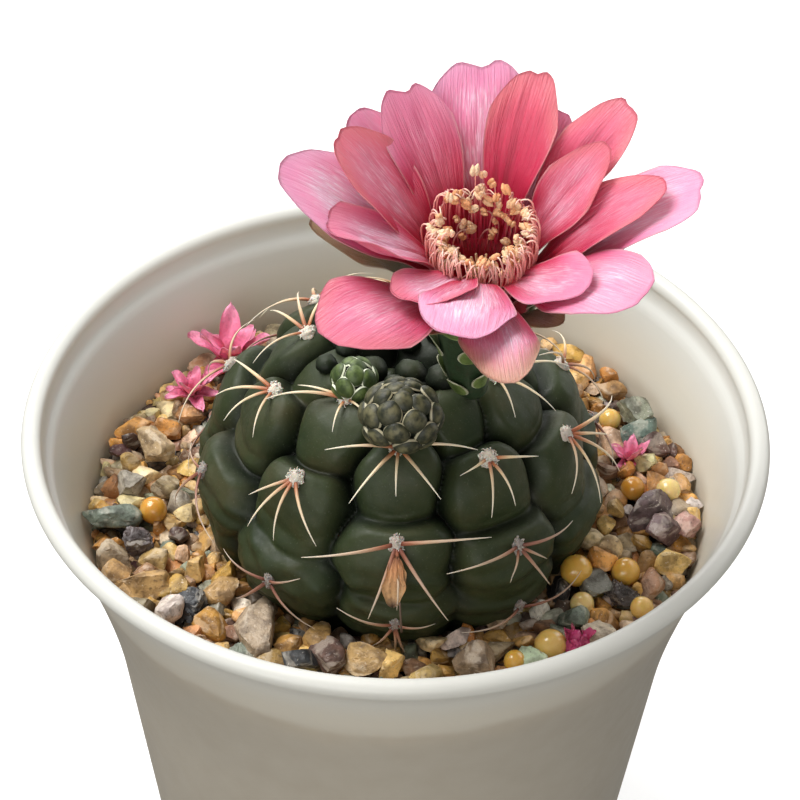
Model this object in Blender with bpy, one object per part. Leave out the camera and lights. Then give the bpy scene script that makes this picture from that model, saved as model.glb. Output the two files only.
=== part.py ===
"""A round, ribbed cactus in flower, growing in a plain pot of grit.

Modelled at real size with +Z up. The origin is the centre of the pot's foot, on the surface that it
stands on, and the flower leans towards -Y, the front. Sizes below are in millimetres and degrees;
add_piece turns them into metres. Azimuths count from the front, -Y, towards +X.
"""

import math
import random

import bmesh
import bpy
import numpy as np

GAP = 0.35  # between a piece and what it rests on

# Pot
POT_HEIGHT = 78.0
RIM_RADIUS = 45.0
LIP_SECTION = 1.2  # radius of the rolled lip
FOOT_RADIUS = 29.7
FOOT_INNER = 25.0  # inside edge of the ring that it stands on
FLOOR_UNDERSIDE = 2.0
FLOOR_TOP = 3.6
WALL = 1.2
WALL_TAPER = 0.1177
FLARE_START = 44.0
FLARE_RISE = 31.0
FLARE = 4.6
POT_SEGMENTS = 56
DRAIN_SLOTS = 8
DRAIN_WIDTH = 3.0
DRAIN_INNER = 11.0
DRAIN_OUTER = 20.0

# Grit
GRIT_TOP = 63.0
GRIT_UNEVEN = 0.1
BED_SEGMENTS = 40
BED_BASE_RADIUS = 14.0  # flat underside, inside the drain slots' middles
BED_LEVELS = (30.0, 46.0, 54.0)  # heights of the bed's sections against the wall
BED_CHAMFER = 2.6

# Cactus stem
STEM_CENTRE = np.array([0.4, -1.5, 70.5])
STEM_RADIUS = 25.0
STEM_RISE = 20.5
RIB_ANGLE = 36.0
CREASE_DEPTH = 3.0
CREASE_REACH = 0.45  # how far a crease rounds over, as a share of the way to a tubercle's middle
FOLD_SHARE = 0.5  # how much shallower the folds between tubercles of one rib are
CHIN = 0.7
CHIN_REACH = 0.17
TUBERCLE_DROP = 9.5  # a tubercle's middle lies this far below its areole
NAVEL_DEPTH = 3.4
NAVEL_WIDTH = 14.0
BURIED_FROM = -8.0  # the relief fades out between these latitudes
BURIED_TO = -17.0
STEM_SEGMENTS = 60
STEM_LOWEST = -36.0  # the lowest latitude of the ellipsoid, where the taproot begins
STEM_LATITUDES = (*range(86, 60, -5), 56, *range(52, -13, -4), -17, STEM_LOWEST)
ROOT_LENGTHS = (48.0, 36.0, 26.0)  # heights of the taproot's sections
ROOT_RADII = (9.0, 4.0, 1.6)
ROOT_TIP = 22.0

# Latitudes of the areoles on each rib, from the front rib round
AREOLES = (
    (82, 54, 26, -5),
    (74, 46, 17, -9),
    (63, 35, 3),
    (66, 35, 5),
    (80, 48, 18, -10),
    (62, 32, 2),
    (74, 44, 14, -14),
    (62, 30, 0),
    (78, 52, 16, -12),
    (65, 38, 1),
)
CROWN_KNOBS = 5
CROWN_LATITUDE = 81.0

# Flower
FLOWER_AZIMUTH = 51.0
FLOWER_LATITUDE = 64.5
FLOWER_TILT = 12.0
TUBE_LENGTH = 18.7
TUBE_BEND = 1.2
TUBE_SECTIONS = ((1.0, 1.9), (3.0, 2.35), (8.0, 2.7), (12.0, 3.3), (15.0, 4.2), (17.3, 5.6), (18.4, 6.3))
TUBE_MOUTH = 3.0
PETAL_START = 19.0  # height of the petals' lower ends above the flower's base
PETAL_THICKNESS = 0.45
LAYER_RADIUS = 3.6
LAYER_STEP = 0.8
LAYER_ANGLE = 28.0
LAYER_ANGLE_STEP = 3.0
PETAL_FOOT = 2.2  # width at the lower end
PETAL_WIDEST = 0.74  # how far along its length a petal is widest
PETAL_BEND = 1.2
# distance from the flower's axis and height above the tube's top, round the section of the crown of stamens
STAMEN_SECTION = (
    (2.5, 0.15), (4.2, 3.2), (5.7, 5.8), (6.2, 7.4), (5.6, 8.7), (4.6, 8.5), (4.2, 6.8), (2.2, 1.2),
)
PISTIL_SECTION = ((0.7, 0.2), (0.6, 4.0), (0.7, 6.4), (1.5, 7.2), (1.3, 8.2))
PISTIL_TOP = 7.9
THROAT_DEPTH = 3.2

# azimuth, layer, angle from the flower's axis at the tip, length, width
PETALS = (
    (353, 0, 60, 22.5, 9.5),
    (2, 2, 72, 23.5, 9.2),
    (47, 0, 47, 18.0, 8.0),
    (50, 1, 60, 23.0, 9.0),
    (91, 1, 55, 22.0, 8.6),
    (89, 2, 62, 24.0, 8.8),
    (120, 0, 50, 19.5, 7.6),
    (130, 1, 55, 22.4, 8.8),
    (150, 2, 60, 17.0, 8.4),
    (163, 0, 55, 21.9, 8.4),
    (182, 1, 60, 21.6, 9.2),
    (204, 0, 55, 21.2, 8.5),
    (224, 1, 60, 20.8, 9.0),
    (246, 0, 55, 21.5, 8.4),
    (267, 1, 65, 23.5, 9.0),
    (275, 2, 68, 17.0, 8.0),
    (318, 2, 80, 23.6, 9.8),
    (328, 1, 58, 15.0, 7.6),
)
OUTER_TEPALS = (
    (271, 3, 72, 16.0, 7.6),
    (331, 3, 72, 10.0, 6.6),
    (37, 3, 66, 10.0, 6.6),
    (70, 3, 66, 13.0, 6.4),
    (165, 3, 66, 15.0, 6.6),
    (222, 3, 68, 15.0, 6.6),
)

# Buds: areole azimuth, latitude on the stem, length, radius, how far the axis leans to upright
BUDS = {
    "bud_large": (1, 62, 8.8, 4.5, -0.3),
    "bud_small": (-38, 69, 5.6, 2.6, 0.6),
}

# Spines
PAD_RADIUS = 1.1
PAD_HEIGHT = 0.75
SPINE_RADIUS = 0.36
SPINE_TIP_RADIUS = 0.1
SPINE_CLEARANCE = 0.9
SPINE_CLIMB = 0.6  # how steeply a spine leaves its pad, and how much it bends back after
SPINE_BEND = 1.1
SPINE_STEPS = 4

# rib, place on the rib, then bearing and length of each spine; bearings count from straight down
SPINES = {
    "spines_front_lower": (0, 2, ((-81, 10.4), (99, 10.3), (-19, 8.7), (35, 10.1), (4, 7.0))),
    "spines_front_upper": (0, 1, ((-86, 7.8), (91, 8.4), (-39, 8.2), (37, 7.2), (-4, 5.2))),
    "spines_right_upper": (1, 1, ((66, 5.6), (-82, 3.6), (-27, 6.4), (6, 5.6))),
    "spines_right_lower": (1, 2, ((87, 7.1), (-98, 9.7), (48, 3.8), (-33, 3.4), (23, 6.5))),
    "spines_right_base": (1, 3, ((-102, 8.4), (101, 8.2))),
    "spines_side_right_crown": (2, 0, ((-49, 5.8), (47, 10.3), (-5, 7.8), (110, 7.0))),
    "spines_side_right": (2, 1, ((45, 7.1), (70, 11.4), (19, 8.9), (-27, 8.4), (-60, 7.2))),
    "spines_far_right": (3, 1, ((-150, 8.8), (75, 8.2), (17, 8.2), (-20, 7.0))),
    "spines_back_right": (4, 1, ((-80, 8.0), (80, 8.5), (-30, 8.0), (30, 8.2))),
    "spines_back": (5, 1, ((-85, 8.5), (85, 8.0), (-35, 8.0), (28, 8.4))),
    "spines_back_left": (6, 1, ((-88, 8.2), (82, 8.8), (-28, 7.6), (36, 8.0))),
    "spines_far_left": (7, 1, ((-90, 8.0), (40, 9.0), (-30, 8.0))),
    "spines_far_left_crown": (7, 0, ((46, 6.9), (-34, 8.5), (-62, 9.4), (-95, 7.0))),
    "spines_side_left": (8, 2, ((-93, 4.0), (75, 9.6), (-18, 7.7))),
    "spines_side_left_upper": (8, 1, ((-70, 8.4), (-36, 7.9), (-5, 6.4), (49, 6.0))),
    "spines_left_upper": (9, 1, ((-45, 5.4), (-22, 7.4), (5, 6.9), (47, 7.9))),
    "spines_left_base": (9, 2, ((-103, 6.1), (-40, 6.7), (127, 5.2), (68, 7.0))),
}

# Loose pieces on the grit: azimuth, distance from the pot's axis, radius
FEED_BEADS = (
    (65, 30.8, 1.75),
    (36, 31.6, 1.9),
    (51, 29.0, 1.45),
    (-82, 29.8, 1.7),
)
STONES = (
    (19, 30.6, 2.6),
    (-32, 29.6, 2.8),
    (-50, 31.0, 2.0),
    (111, 33.4, 2.5),
)
BLOSSOMS = {
    "fallen_blossom_back": (-138, 32.8, 4.2),
    "fallen_blossom_left": (-124, 32.0, 2.6),
    "fallen_blossom_right": (104, 30.6, 2.2),
}

COLOURS = {  # base colour and roughness
    "pot_plastic": ((0.80, 0.80, 0.78), 0.35),
    "grit": ((0.30, 0.23, 0.15), 0.9),
    "cactus_skin": ((0.050, 0.085, 0.055), 0.6),
    "tube_skin": ((0.03, 0.06, 0.03), 0.6),
    "petal": ((0.80, 0.20, 0.30), 0.5),
    "outer_tepal": ((0.35, 0.33, 0.16), 0.55),
    "stamens": ((0.85, 0.55, 0.30), 0.7),
    "pistil": ((0.75, 0.45, 0.35), 0.7),
    "bud_scales": ((0.10, 0.13, 0.05), 0.6),
    "spines": ((0.70, 0.55, 0.30), 0.5),
    "feed_bead": ((0.75, 0.42, 0.06), 0.3),
    "stone": ((0.35, 0.30, 0.25), 0.85),
    "fallen_blossom": ((0.65, 0.15, 0.30), 0.7),
}


def clear_scene():
    for obj in list(bpy.data.objects):
        bpy.data.objects.remove(obj, do_unlink=True)


def material(slot):
    found = bpy.data.materials.get(slot)
    if found:
        return found
    colour, roughness = COLOURS[slot]
    made = bpy.data.materials.new(slot)
    made.use_nodes = True
    shader = made.node_tree.nodes["Principled BSDF"]
    shader.inputs["Base Color"].default_value = (*colour, 1.0)
    shader.inputs["Roughness"].default_value = roughness
    shader.inputs["Metallic"].default_value = 0.0
    return made


def add_piece(name, points, faces, slot, sharp_angle=50.0):
    """A closed piece from points in millimetres."""
    mesh = bpy.data.meshes.new(name)
    mesh.from_pydata([tuple(float(c) / 1000 for c in p) for p in points], [], faces)
    work = bmesh.new()
    work.from_mesh(mesh)
    bmesh.ops.recalc_face_normals(work, faces=work.faces)
    if work.calc_volume(signed=True) < 0:
        bmesh.ops.reverse_faces(work, faces=work.faces)
    work.to_mesh(mesh)
    work.free()
    mesh.materials.append(material(slot))
    mesh.shade_smooth()
    mesh.set_sharp_from_angle(angle=math.radians(sharp_angle))
    piece = bpy.data.objects.new(name, mesh)
    bpy.context.collection.objects.link(piece)
    return piece


def unit(vector):
    return np.asarray(vector, float) / np.linalg.norm(vector)


def bearing(azimuth):
    """The horizontal direction of an azimuth."""
    angle = math.radians(azimuth)
    return np.array([math.sin(angle), -math.cos(angle), 0.0])


def rings_to_faces(rings, segments, start_pole, end_pole):
    """Faces over rings of points, closed at each end by a pole point, or end to end without poles."""
    faces = []
    for ring in range(rings - 1):
        for i in range(segments):
            j = (i + 1) % segments
            a, b = ring * segments, (ring + 1) * segments
            faces.append((a + i, a + j, b + j, b + i))
    last = (rings - 1) * segments
    if start_pole is None:
        faces += [(last + i, last + (i + 1) % segments, (i + 1) % segments, i) for i in range(segments)]
        return faces
    faces += [(start_pole, (i + 1) % segments, i) for i in range(segments)]
    faces += [(end_pole, last + i, last + (i + 1) % segments) for i in range(segments)]
    return faces


def skin_over(name, rings, slot, poles=None, sharp_angle=50.0):
    """A piece whose surface runs over the rings. poles are the points that close its two ends."""
    segments = len(rings[0])
    points = [p for ring in rings for p in ring]
    if poles is None:
        faces = rings_to_faces(len(rings), segments, None, None)
    else:
        faces = rings_to_faces(len(rings), segments, len(points), len(points) + 1)
        points += list(poles)
    return add_piece(name, points, faces, slot, sharp_angle)


def circle(centre, radius, height, segments):
    turns = np.arange(segments) * 360.0 / segments
    return [np.array([centre[0], centre[1], height]) + radius * bearing(a) for a in turns]


# ---------------------------------------------------------------- pot and grit


def wall_radius(height):
    flare = max(0.0, (height - FLARE_START) / FLARE_RISE)
    return FOOT_RADIUS + WALL_TAPER * height + FLARE * flare**1.75


def pot_outline():
    """Radius and height along the pot's section, from under its floor to the top of its floor."""
    lip_r, lip_z = RIM_RADIUS - LIP_SECTION, POT_HEIGHT - LIP_SECTION
    outline = [(FOOT_INNER - 0.6, FLOOR_UNDERSIDE), (FOOT_INNER, 0.0), (FOOT_RADIUS - 0.7, 0.0)]
    outline += [(wall_radius(z), z) for z in (0.8, 24.0, 44.0, 52.0, 60.0, 68.0, 74.6)]
    for turn in (-55, -10, 35, 90, 150):
        angle = math.radians(turn)
        outline.append((lip_r + LIP_SECTION * math.cos(angle), lip_z + LIP_SECTION * math.sin(angle)))
    outline += [(wall_radius(z) - WALL, z) for z in (74.6, 68.0, 60.0, 52.0, 44.0, FLOOR_TOP + 2.0)]
    outline.append((wall_radius(FLOOR_TOP) - WALL - 1.6, FLOOR_TOP))
    return outline


def drain_cutter():
    """One slot with round ends, standing through the floor."""
    half = DRAIN_WIDTH / 2
    inner, outer = DRAIN_INNER + half, DRAIN_OUTER - half
    turns = [math.radians(a) for a in (90, 135, 180, 225, 270)]
    outline = [(inner + half * math.cos(a), half * math.sin(a)) for a in turns]
    outline += [(outer - half * math.cos(a), -half * math.sin(a)) for a in turns]
    return outline


def make_pot():
    rings = [circle((0, 0), r, z, POT_SEGMENTS) for r, z in pot_outline()]
    poles = ((0, 0, FLOOR_UNDERSIDE), (0, 0, FLOOR_TOP))
    pot = skin_over("pot", rings, "pot_plastic", poles, sharp_angle=35.0)
    points, faces = [], []
    outline = drain_cutter()
    for slot in range(DRAIN_SLOTS):
        turn = math.radians(slot * 360.0 / DRAIN_SLOTS + 22.5)
        along = np.array([math.cos(turn), math.sin(turn), 0])
        across = np.array([-math.sin(turn), math.cos(turn), 0])
        first, count = len(points), len(outline)
        for z in (-1.0, FLOOR_TOP + 1.0):
            points += [x * along + y * across + np.array([0, 0, z]) for x, y in outline]
        low = list(range(first, first + count))
        high = [i + count for i in low]
        faces += [tuple(reversed(low)), tuple(high)]
        faces += [(low[i - 1], low[i], high[i], high[i - 1]) for i in range(count)]
    cutter = add_piece("drain_cutter", points, faces, "pot_plastic")
    cutter.hide_render = True
    cutter.display_type = "WIRE"
    cut = pot.modifiers.new("drain_slots", "BOOLEAN")
    cut.operation = "DIFFERENCE"
    cut.solver = "EXACT"
    cut.object = cutter


def stem_profile(height):
    """Radius of the buried, smooth part of the stem and its root at a height."""
    lowest = STEM_CENTRE[2] + STEM_RISE * math.sin(math.radians(STEM_LOWEST))
    if height >= lowest:
        share = (height - STEM_CENTRE[2]) / STEM_RISE
        return STEM_RADIUS * math.sqrt(1 - share**2)
    heights = (ROOT_TIP, *reversed(ROOT_LENGTHS), lowest)
    radii = (0.0, *reversed(ROOT_RADII), STEM_RADIUS * math.cos(math.radians(STEM_LOWEST)))
    return float(np.interp(height, heights, radii))


def make_grit_bed():
    """The grit that fills the pot, with a hollow that fits the buried part of the stem."""
    uneven = random.Random(5)
    bottom = FLOOR_TOP + GAP
    rings = [circle((0, 0), BED_BASE_RADIUS, bottom, BED_SEGMENTS)]
    rings.append(circle((0, 0), wall_radius(bottom) - WALL - GAP - BED_CHAMFER, bottom, BED_SEGMENTS))
    for z in (FLOOR_TOP + BED_CHAMFER, *BED_LEVELS):
        rings.append(circle((0, 0), wall_radius(z) - WALL - GAP, z, BED_SEGMENTS))
    edge = circle((0, 0), wall_radius(GRIT_TOP) - WALL - GAP - 0.2, GRIT_TOP - 0.4, BED_SEGMENTS)
    brim = circle(STEM_CENTRE, stem_profile(GRIT_TOP) + GAP + 0.2, GRIT_TOP - 0.3, BED_SEGMENTS)
    rings.append(edge)
    for share in (0.33, 0.67):
        ring = [e + share * (b - e) for e, b in zip(edge, brim)]
        rings.append([p + np.array([0, 0, uneven.uniform(-GRIT_UNEVEN, GRIT_UNEVEN)]) for p in ring])
    rings.append(brim)
    lowest = STEM_CENTRE[2] + STEM_RISE * math.sin(math.radians(STEM_LOWEST))
    for z in (lowest, *ROOT_LENGTHS):
        rings.append(circle(STEM_CENTRE, stem_profile(z) + GAP + 0.3, z - GAP, BED_SEGMENTS))
    poles = ((0, 0, bottom), (STEM_CENTRE[0], STEM_CENTRE[1], ROOT_TIP - 1.0))
    skin_over("grit_bed", rings, "grit", poles, sharp_angle=35.0)


# ---------------------------------------------------------------- stem


def on_sphere(azimuth, latitude):
    a, b = np.radians(azimuth), np.radians(latitude)
    return np.stack([np.cos(b) * np.sin(a), -np.cos(b) * np.cos(a), np.sin(b)], axis=-1)


def tubercle_middles():
    """Directions of the tubercles' middles, with the rib that each is on."""
    middles, ribs = [], []
    for rib, latitudes in enumerate(AREOLES):
        lowest = latitudes[-1]
        for latitude in (*latitudes, lowest - 30.0):
            middles.append(on_sphere(rib * RIB_ANGLE, latitude - TUBERCLE_DROP))
            ribs.append(rib)
    for knob in range(CROWN_KNOBS):
        middles.append(on_sphere(18.0 + knob * 360.0 / CROWN_KNOBS, CROWN_LATITUDE))
        ribs.append(100 + knob)
    return np.array(middles), np.array(ribs)


MIDDLES, RIBS = tubercle_middles()


def relief(azimuth, latitude):
    """How far the skin lies outside (+) or inside (-) the stem's ellipsoid."""
    spot = on_sphere(azimuth, latitude)
    away = np.linalg.norm(MIDDLES - spot, axis=1)
    nearest = int(np.argmin(away))
    pillow = 1.0
    for other in range(len(away)):
        if other == nearest:
            continue
        share = (away[other] - away[nearest]) / (away[other] + away[nearest])
        if share >= CREASE_REACH:
            continue
        rise = math.sqrt(1 - (1 - share / CREASE_REACH) ** 2)
        floor = FOLD_SHARE if RIBS[other] == RIBS[nearest] else 0.0
        pillow *= floor + (1 - floor) * rise
    depth = CREASE_DEPTH * (1.0 if latitude < 55 else 1.0 - 0.5 * (latitude - 55) / 35)
    height = depth * (pillow - 1.0) + CHIN * math.exp(-((away[nearest] / CHIN_REACH) ** 2)) - CHIN
    height -= NAVEL_DEPTH * math.exp(-(((90 - latitude) / NAVEL_WIDTH) ** 2))
    buried = np.clip((latitude - BURIED_TO) / (BURIED_FROM - BURIED_TO), 0, 1)
    return height * buried


def stem_normal(azimuth, latitude):
    flat = on_sphere(azimuth, latitude)
    return unit(flat / np.array([STEM_RADIUS, STEM_RADIUS, STEM_RISE]))


def skin_point(azimuth, latitude):
    spot = on_sphere(azimuth, latitude) * np.array([STEM_RADIUS, STEM_RADIUS, STEM_RISE])
    return STEM_CENTRE + spot + relief(azimuth, latitude) * stem_normal(azimuth, latitude)


def height_over_skin(point):
    """Distance of a point outside the stem's skin, and the direction out of the skin there."""
    away = np.asarray(point) - STEM_CENTRE
    azimuth = math.degrees(math.atan2(away[0], -away[1]))
    latitude = math.degrees(math.atan2(away[2] / STEM_RISE, math.hypot(away[0], away[1]) / STEM_RADIUS))
    normal = stem_normal(azimuth, latitude)
    return float(np.dot(point - skin_point(azimuth, latitude), normal)), normal


def make_stem():
    turns = np.arange(STEM_SEGMENTS) * 360.0 / STEM_SEGMENTS
    rings = []
    for latitude in STEM_LATITUDES:
        rings.append([skin_point(azimuth, latitude) for azimuth in turns])
    for z, radius in zip(ROOT_LENGTHS, ROOT_RADII):
        rings.append(circle(STEM_CENTRE, radius, z, STEM_SEGMENTS))
    poles = (skin_point(0, 90), (STEM_CENTRE[0], STEM_CENTRE[1], ROOT_TIP))
    skin_over("cactus_stem", rings, "cactus_skin", poles, sharp_angle=80.0)


# ---------------------------------------------------------------- flower and buds


def flower_frame():
    """The flower's foot, its axis, and two directions across it: forward, and to +X."""
    foot = skin_point(FLOWER_AZIMUTH, FLOWER_LATITUDE)
    foot = foot + GAP * stem_normal(FLOWER_AZIMUTH, FLOWER_LATITUDE)
    tilt = math.radians(FLOWER_TILT)
    axis = np.array([0.0, -math.sin(tilt), math.cos(tilt)])
    forward = np.array([0.0, -math.cos(tilt), -math.sin(tilt)])
    return foot, axis, forward, np.array([1.0, 0.0, 0.0])


def across(frame, azimuth):
    angle = math.radians(azimuth)
    return math.cos(angle) * frame[2] + math.sin(angle) * frame[3]


def flower_ring(frame, radius, rise, segments, sway=0.0):
    foot, axis, _, right = frame
    middle = foot + rise * axis - sway * right
    return [middle + radius * across(frame, i * 360.0 / segments) for i in range(segments)]


def make_flower_tube(frame):
    foot, axis, _, _ = frame
    rings = []
    for rise, radius in TUBE_SECTIONS:
        sway = TUBE_BEND * math.sin(math.pi * min(rise / PETAL_START, 1.0))
        rings.append(flower_ring(frame, radius, rise, 20, sway))
    rings.append(flower_ring(frame, 6.0, TUBE_LENGTH, 20))
    rings.append(flower_ring(frame, TUBE_MOUTH, TUBE_LENGTH, 20))
    rings.append(flower_ring(frame, TUBE_MOUTH - 0.8, TUBE_LENGTH - 2.5, 20))
    poles = (foot, foot + (TUBE_LENGTH - THROAT_DEPTH) * axis)
    skin_over("flower_tube", rings, "tube_skin", poles)


def petal_width(share, width):
    """Spatulate: narrow below, widest at about three quarters, with a round tip."""
    swell = (0.5 - 0.5 * math.cos(math.pi * min(share / PETAL_WIDEST, 1.0))) ** 1.6
    body = PETAL_FOOT + (width - PETAL_FOOT) * swell
    if share > PETAL_WIDEST:
        body *= math.sqrt(max(0.0, 1 - ((share - PETAL_WIDEST) / (1.02 - PETAL_WIDEST)) ** 2))
    return body


def petal_spine(length, start_angle, end_angle, steps):
    """Distance from the axis and height along a petal's midline, by even steps, from zero."""
    spots, radial, rise = [(0.0, 0.0)], 0.0, 0.0
    for step in range(steps):
        share = (step + 0.5) / steps
        angle = math.radians(start_angle + (end_angle - start_angle) * share**PETAL_BEND)
        radial += math.sin(angle) * length / steps
        rise += math.cos(angle) * length / steps
        spots.append((radial, rise))
    return np.array(spots)


def petal_surface(frame, spec, shares, sides, lift):
    """Rows of points over one face of a petal; lift moves the face towards the flower's axis."""
    azimuth, layer, end_angle, length, width = spec
    foot, axis, _, _ = frame
    start_angle = LAYER_ANGLE + LAYER_ANGLE_STEP * layer
    start_radius = LAYER_RADIUS + LAYER_STEP * layer
    midline = petal_spine(length, start_angle, end_angle, 40)
    rows = []
    for share in shares:
        at = share * 40
        radial = start_radius + np.interp(at, range(41), midline[:, 0])
        rise = PETAL_START + np.interp(at, range(41), midline[:, 1])
        angle = math.radians(start_angle + (end_angle - start_angle) * share**PETAL_BEND)
        radial -= lift * math.cos(angle)
        rise += lift * math.sin(angle)
        half = petal_width(share, width) / 2
        row = []
        for side in sides:
            turn = math.degrees(side * half / radial)
            row.append(foot + rise * axis + radial * across(frame, azimuth + turn))
        rows.append(row)
    return rows


def sheet_piece(name, under, over, slot):
    """A thin closed piece between two faces given as rows of points."""
    rows, columns = len(under), len(under[0])
    points = [p for row in under for p in row] + [p for row in over for p in row]
    shift = rows * columns
    faces = []
    for r in range(rows - 1):
        for c in range(columns - 1):
            a, b = r * columns + c, (r + 1) * columns + c
            faces.append((a, a + 1, b + 1, b))
            faces.append((shift + a, shift + b, shift + b + 1, shift + a + 1))
    rim = [c for c in range(columns)]
    rim += [r * columns + columns - 1 for r in range(1, rows)]
    rim += [(rows - 1) * columns + c for c in range(columns - 2, -1, -1)]
    rim += [r * columns for r in range(rows - 2, 0, -1)]
    for a, b in zip(rim, rim[1:] + rim[:1]):
        faces.append((a, b, shift + b, shift + a))
    return add_piece(name, points, faces, slot)


def make_petals(frame):
    shares = (0.0, 0.22, 0.42, 0.6, 0.76, 0.9, 1.0)
    sides = (-1.0, -0.5, 0.0, 0.5, 1.0)
    half = PETAL_THICKNESS / 2
    for number, spec in enumerate(PETALS, start=1):
        under = petal_surface(frame, spec, shares, sides, -half)
        over = petal_surface(frame, spec, shares, sides, half)
        sheet_piece(f"petal_{number:02d}", under, over, "petal")
    for number, spec in enumerate(OUTER_TEPALS, start=1):
        under = petal_surface(frame, spec, shares[::2], sides[::2], -half)
        over = petal_surface(frame, spec, shares[::2], sides[::2], half)
        sheet_piece(f"outer_tepal_{number}", under, over, "outer_tepal")


def make_stamens(frame):
    """The crown of stamens, as a ring that curls inwards round the throat."""
    rings = [flower_ring(frame, r, TUBE_LENGTH + z, 24) for r, z in STAMEN_SECTION]
    skin_over("stamens", rings, "stamens")


def make_pistil(frame):
    foot, axis, _, _ = frame
    base = TUBE_LENGTH - THROAT_DEPTH + GAP
    rings = [flower_ring(frame, r, base + z, 10) for r, z in PISTIL_SECTION]
    poles = (foot + base * axis, foot + (base + PISTIL_TOP) * axis)
    skin_over("pistil", rings, "pistil", poles)


def make_bud(name, spec):
    azimuth, latitude, length, radius, upright = spec
    normal = stem_normal(azimuth, latitude)
    foot = skin_point(azimuth, latitude) + (GAP + 0.1 * length) * normal
    axis = unit((1 - upright) * normal + upright * np.array([0, 0, 1]))
    first = unit(np.cross(axis, [1.0, 0.2, 0.0]))
    second = np.cross(axis, first)
    rings = []
    for share in (0.06, 0.18, 0.34, 0.52, 0.7, 0.86, 0.96):
        swell = radius * math.sin(math.pi * share) ** 0.66
        ring = []
        for i in range(16):
            turn = i * math.pi / 8
            scale = 1 + 0.05 * math.cos(5 * turn + 20 * share)
            ring.append(foot + share * length * axis
                        + scale * swell * (math.cos(turn) * first + math.sin(turn) * second))
        rings.append(ring)
    skin_over(name, rings, "bud_scales", (foot, foot + length * axis))


# ---------------------------------------------------------------- spines


def spread_round(bearings, least):
    """Bearings in rising order, pushed apart until neighbours are at least so far from each other."""
    placed = list(bearings)
    for _ in range(60):
        for i in range(len(placed)):
            j = (i + 1) % len(placed)
            between = (placed[j] - placed[i]) % 360
            if between < least:
                placed[i] -= (least - between) / 2
                placed[j] += (least - between) / 2
    return placed


def spine_ring(middle, forward, outward, radius):
    beside = unit(np.cross(outward, forward))
    above = np.cross(forward, beside)
    corners = ((-1, -1), (1, -1), (1, 1), (-1, 1))
    return [middle + 0.71 * radius * (x * beside + y * above) for x, y in corners]


def make_spine_cluster(name, rib, place, spines):
    """A woolly pad with its spines, as one solid: each spine grows out of a side face of the pad."""
    azimuth, latitude = rib * RIB_ANGLE, AREOLES[rib][place]
    normal = stem_normal(azimuth, latitude)
    east = np.array([math.cos(math.radians(azimuth)), math.sin(math.radians(azimuth)), 0.0])
    down = unit(np.cross(east, normal))
    if down[2] > 0:
        down = -down
    seat = skin_point(azimuth, latitude) + (GAP + 0.12) * normal
    spines = sorted(spines)
    hub = spread_round([b for b, _ in spines], 58.0)

    def heading(angle):
        return math.cos(math.radians(angle)) * down + math.sin(math.radians(angle)) * east

    low, high = [], []
    half = math.degrees(math.asin(SPINE_RADIUS / PAD_RADIUS))
    for angle in hub:
        for corner in (angle - half, angle + half):
            spot = seat + PAD_RADIUS * heading(corner)
            over, _ = height_over_skin(spot)
            low.append(spot + max(0.0, GAP - over) * normal)
            high.append(spot + PAD_HEIGHT * normal)
    count = len(low)
    points = low + high + [seat, seat + 1.35 * PAD_HEIGHT * normal]
    faces = [(2 * count, (i + 1) % count, i) for i in range(count)]
    faces += [(2 * count + 1, count + i, count + (i + 1) % count) for i in range(count)]
    for side in range(1, count, 2):
        after = (side + 1) % count
        faces.append((side, after, count + after, count + side))
    for number, (angle, length) in enumerate(spines):
        left, right = 2 * number, 2 * number + 1
        ring = [left, right, count + right, count + left]
        at = seat + PAD_RADIUS * heading(hub[number]) + 0.5 * PAD_HEIGHT * normal
        for step in range(1, SPINE_STEPS + 1):
            share = step / SPINE_STEPS
            turn = hub[number] + (angle - hub[number]) * min(1.0, 1.6 * share)
            climb = SPINE_CLIMB - SPINE_BEND * share
            forward = unit(heading(turn) + climb * normal)
            at = at + forward * length / SPINE_STEPS
            over, outward = height_over_skin(at)
            at = at + max(0.0, SPINE_CLEARANCE - over) * outward
            at[2] = max(at[2], GRIT_TOP + 1.2)
            if step == SPINE_STEPS:
                points.append(at)
                tip = len(points) - 1
                faces += [(ring[i], ring[(i + 1) % 4], tip) for i in range(4)]
                break
            radius = SPINE_RADIUS + (SPINE_TIP_RADIUS - SPINE_RADIUS) * share
            first = len(points)
            points += spine_ring(at, forward, outward, radius)
            new = [first, first + 1, first + 2, first + 3]
            faces += [(ring[i], ring[(i + 1) % 4], new[(i + 1) % 4], new[i]) for i in range(4)]
            ring = new
    add_piece(name, points, faces, "spines", sharp_angle=70.0)


# ---------------------------------------------------------------- loose pieces


def make_lump(name, azimuth, distance, radius, slot, rough, flat, seed):
    """A rounded lump that rests on the grit: a bead, or a stone when rough."""
    shape = random.Random(seed)
    squash = np.array([1.0 + rough * 0.5, 1.0, flat])
    middle = distance * bearing(azimuth)
    rings = []
    for latitude in (-62, -36, -12, 12, 36, 62):
        ring = []
        for turn in range(0, 360, 36):
            swell = radius * (1 + rough * shape.uniform(-0.35, 0.2))
            ring.append(on_sphere(turn, latitude) * swell * squash)
        rings.append(ring)
    poles = [np.array([0, 0, -radius * flat]), np.array([0, 0, radius * flat])]
    lowest = min(p[2] for ring in rings for p in ring)
    lift = middle + np.array([0, 0, GRIT_TOP + 0.1 + GAP - min(lowest, poles[0][2])])
    rings = [[p + lift for p in ring] for ring in rings]
    skin_over(name, rings, slot, [p + lift for p in poles])


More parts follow.
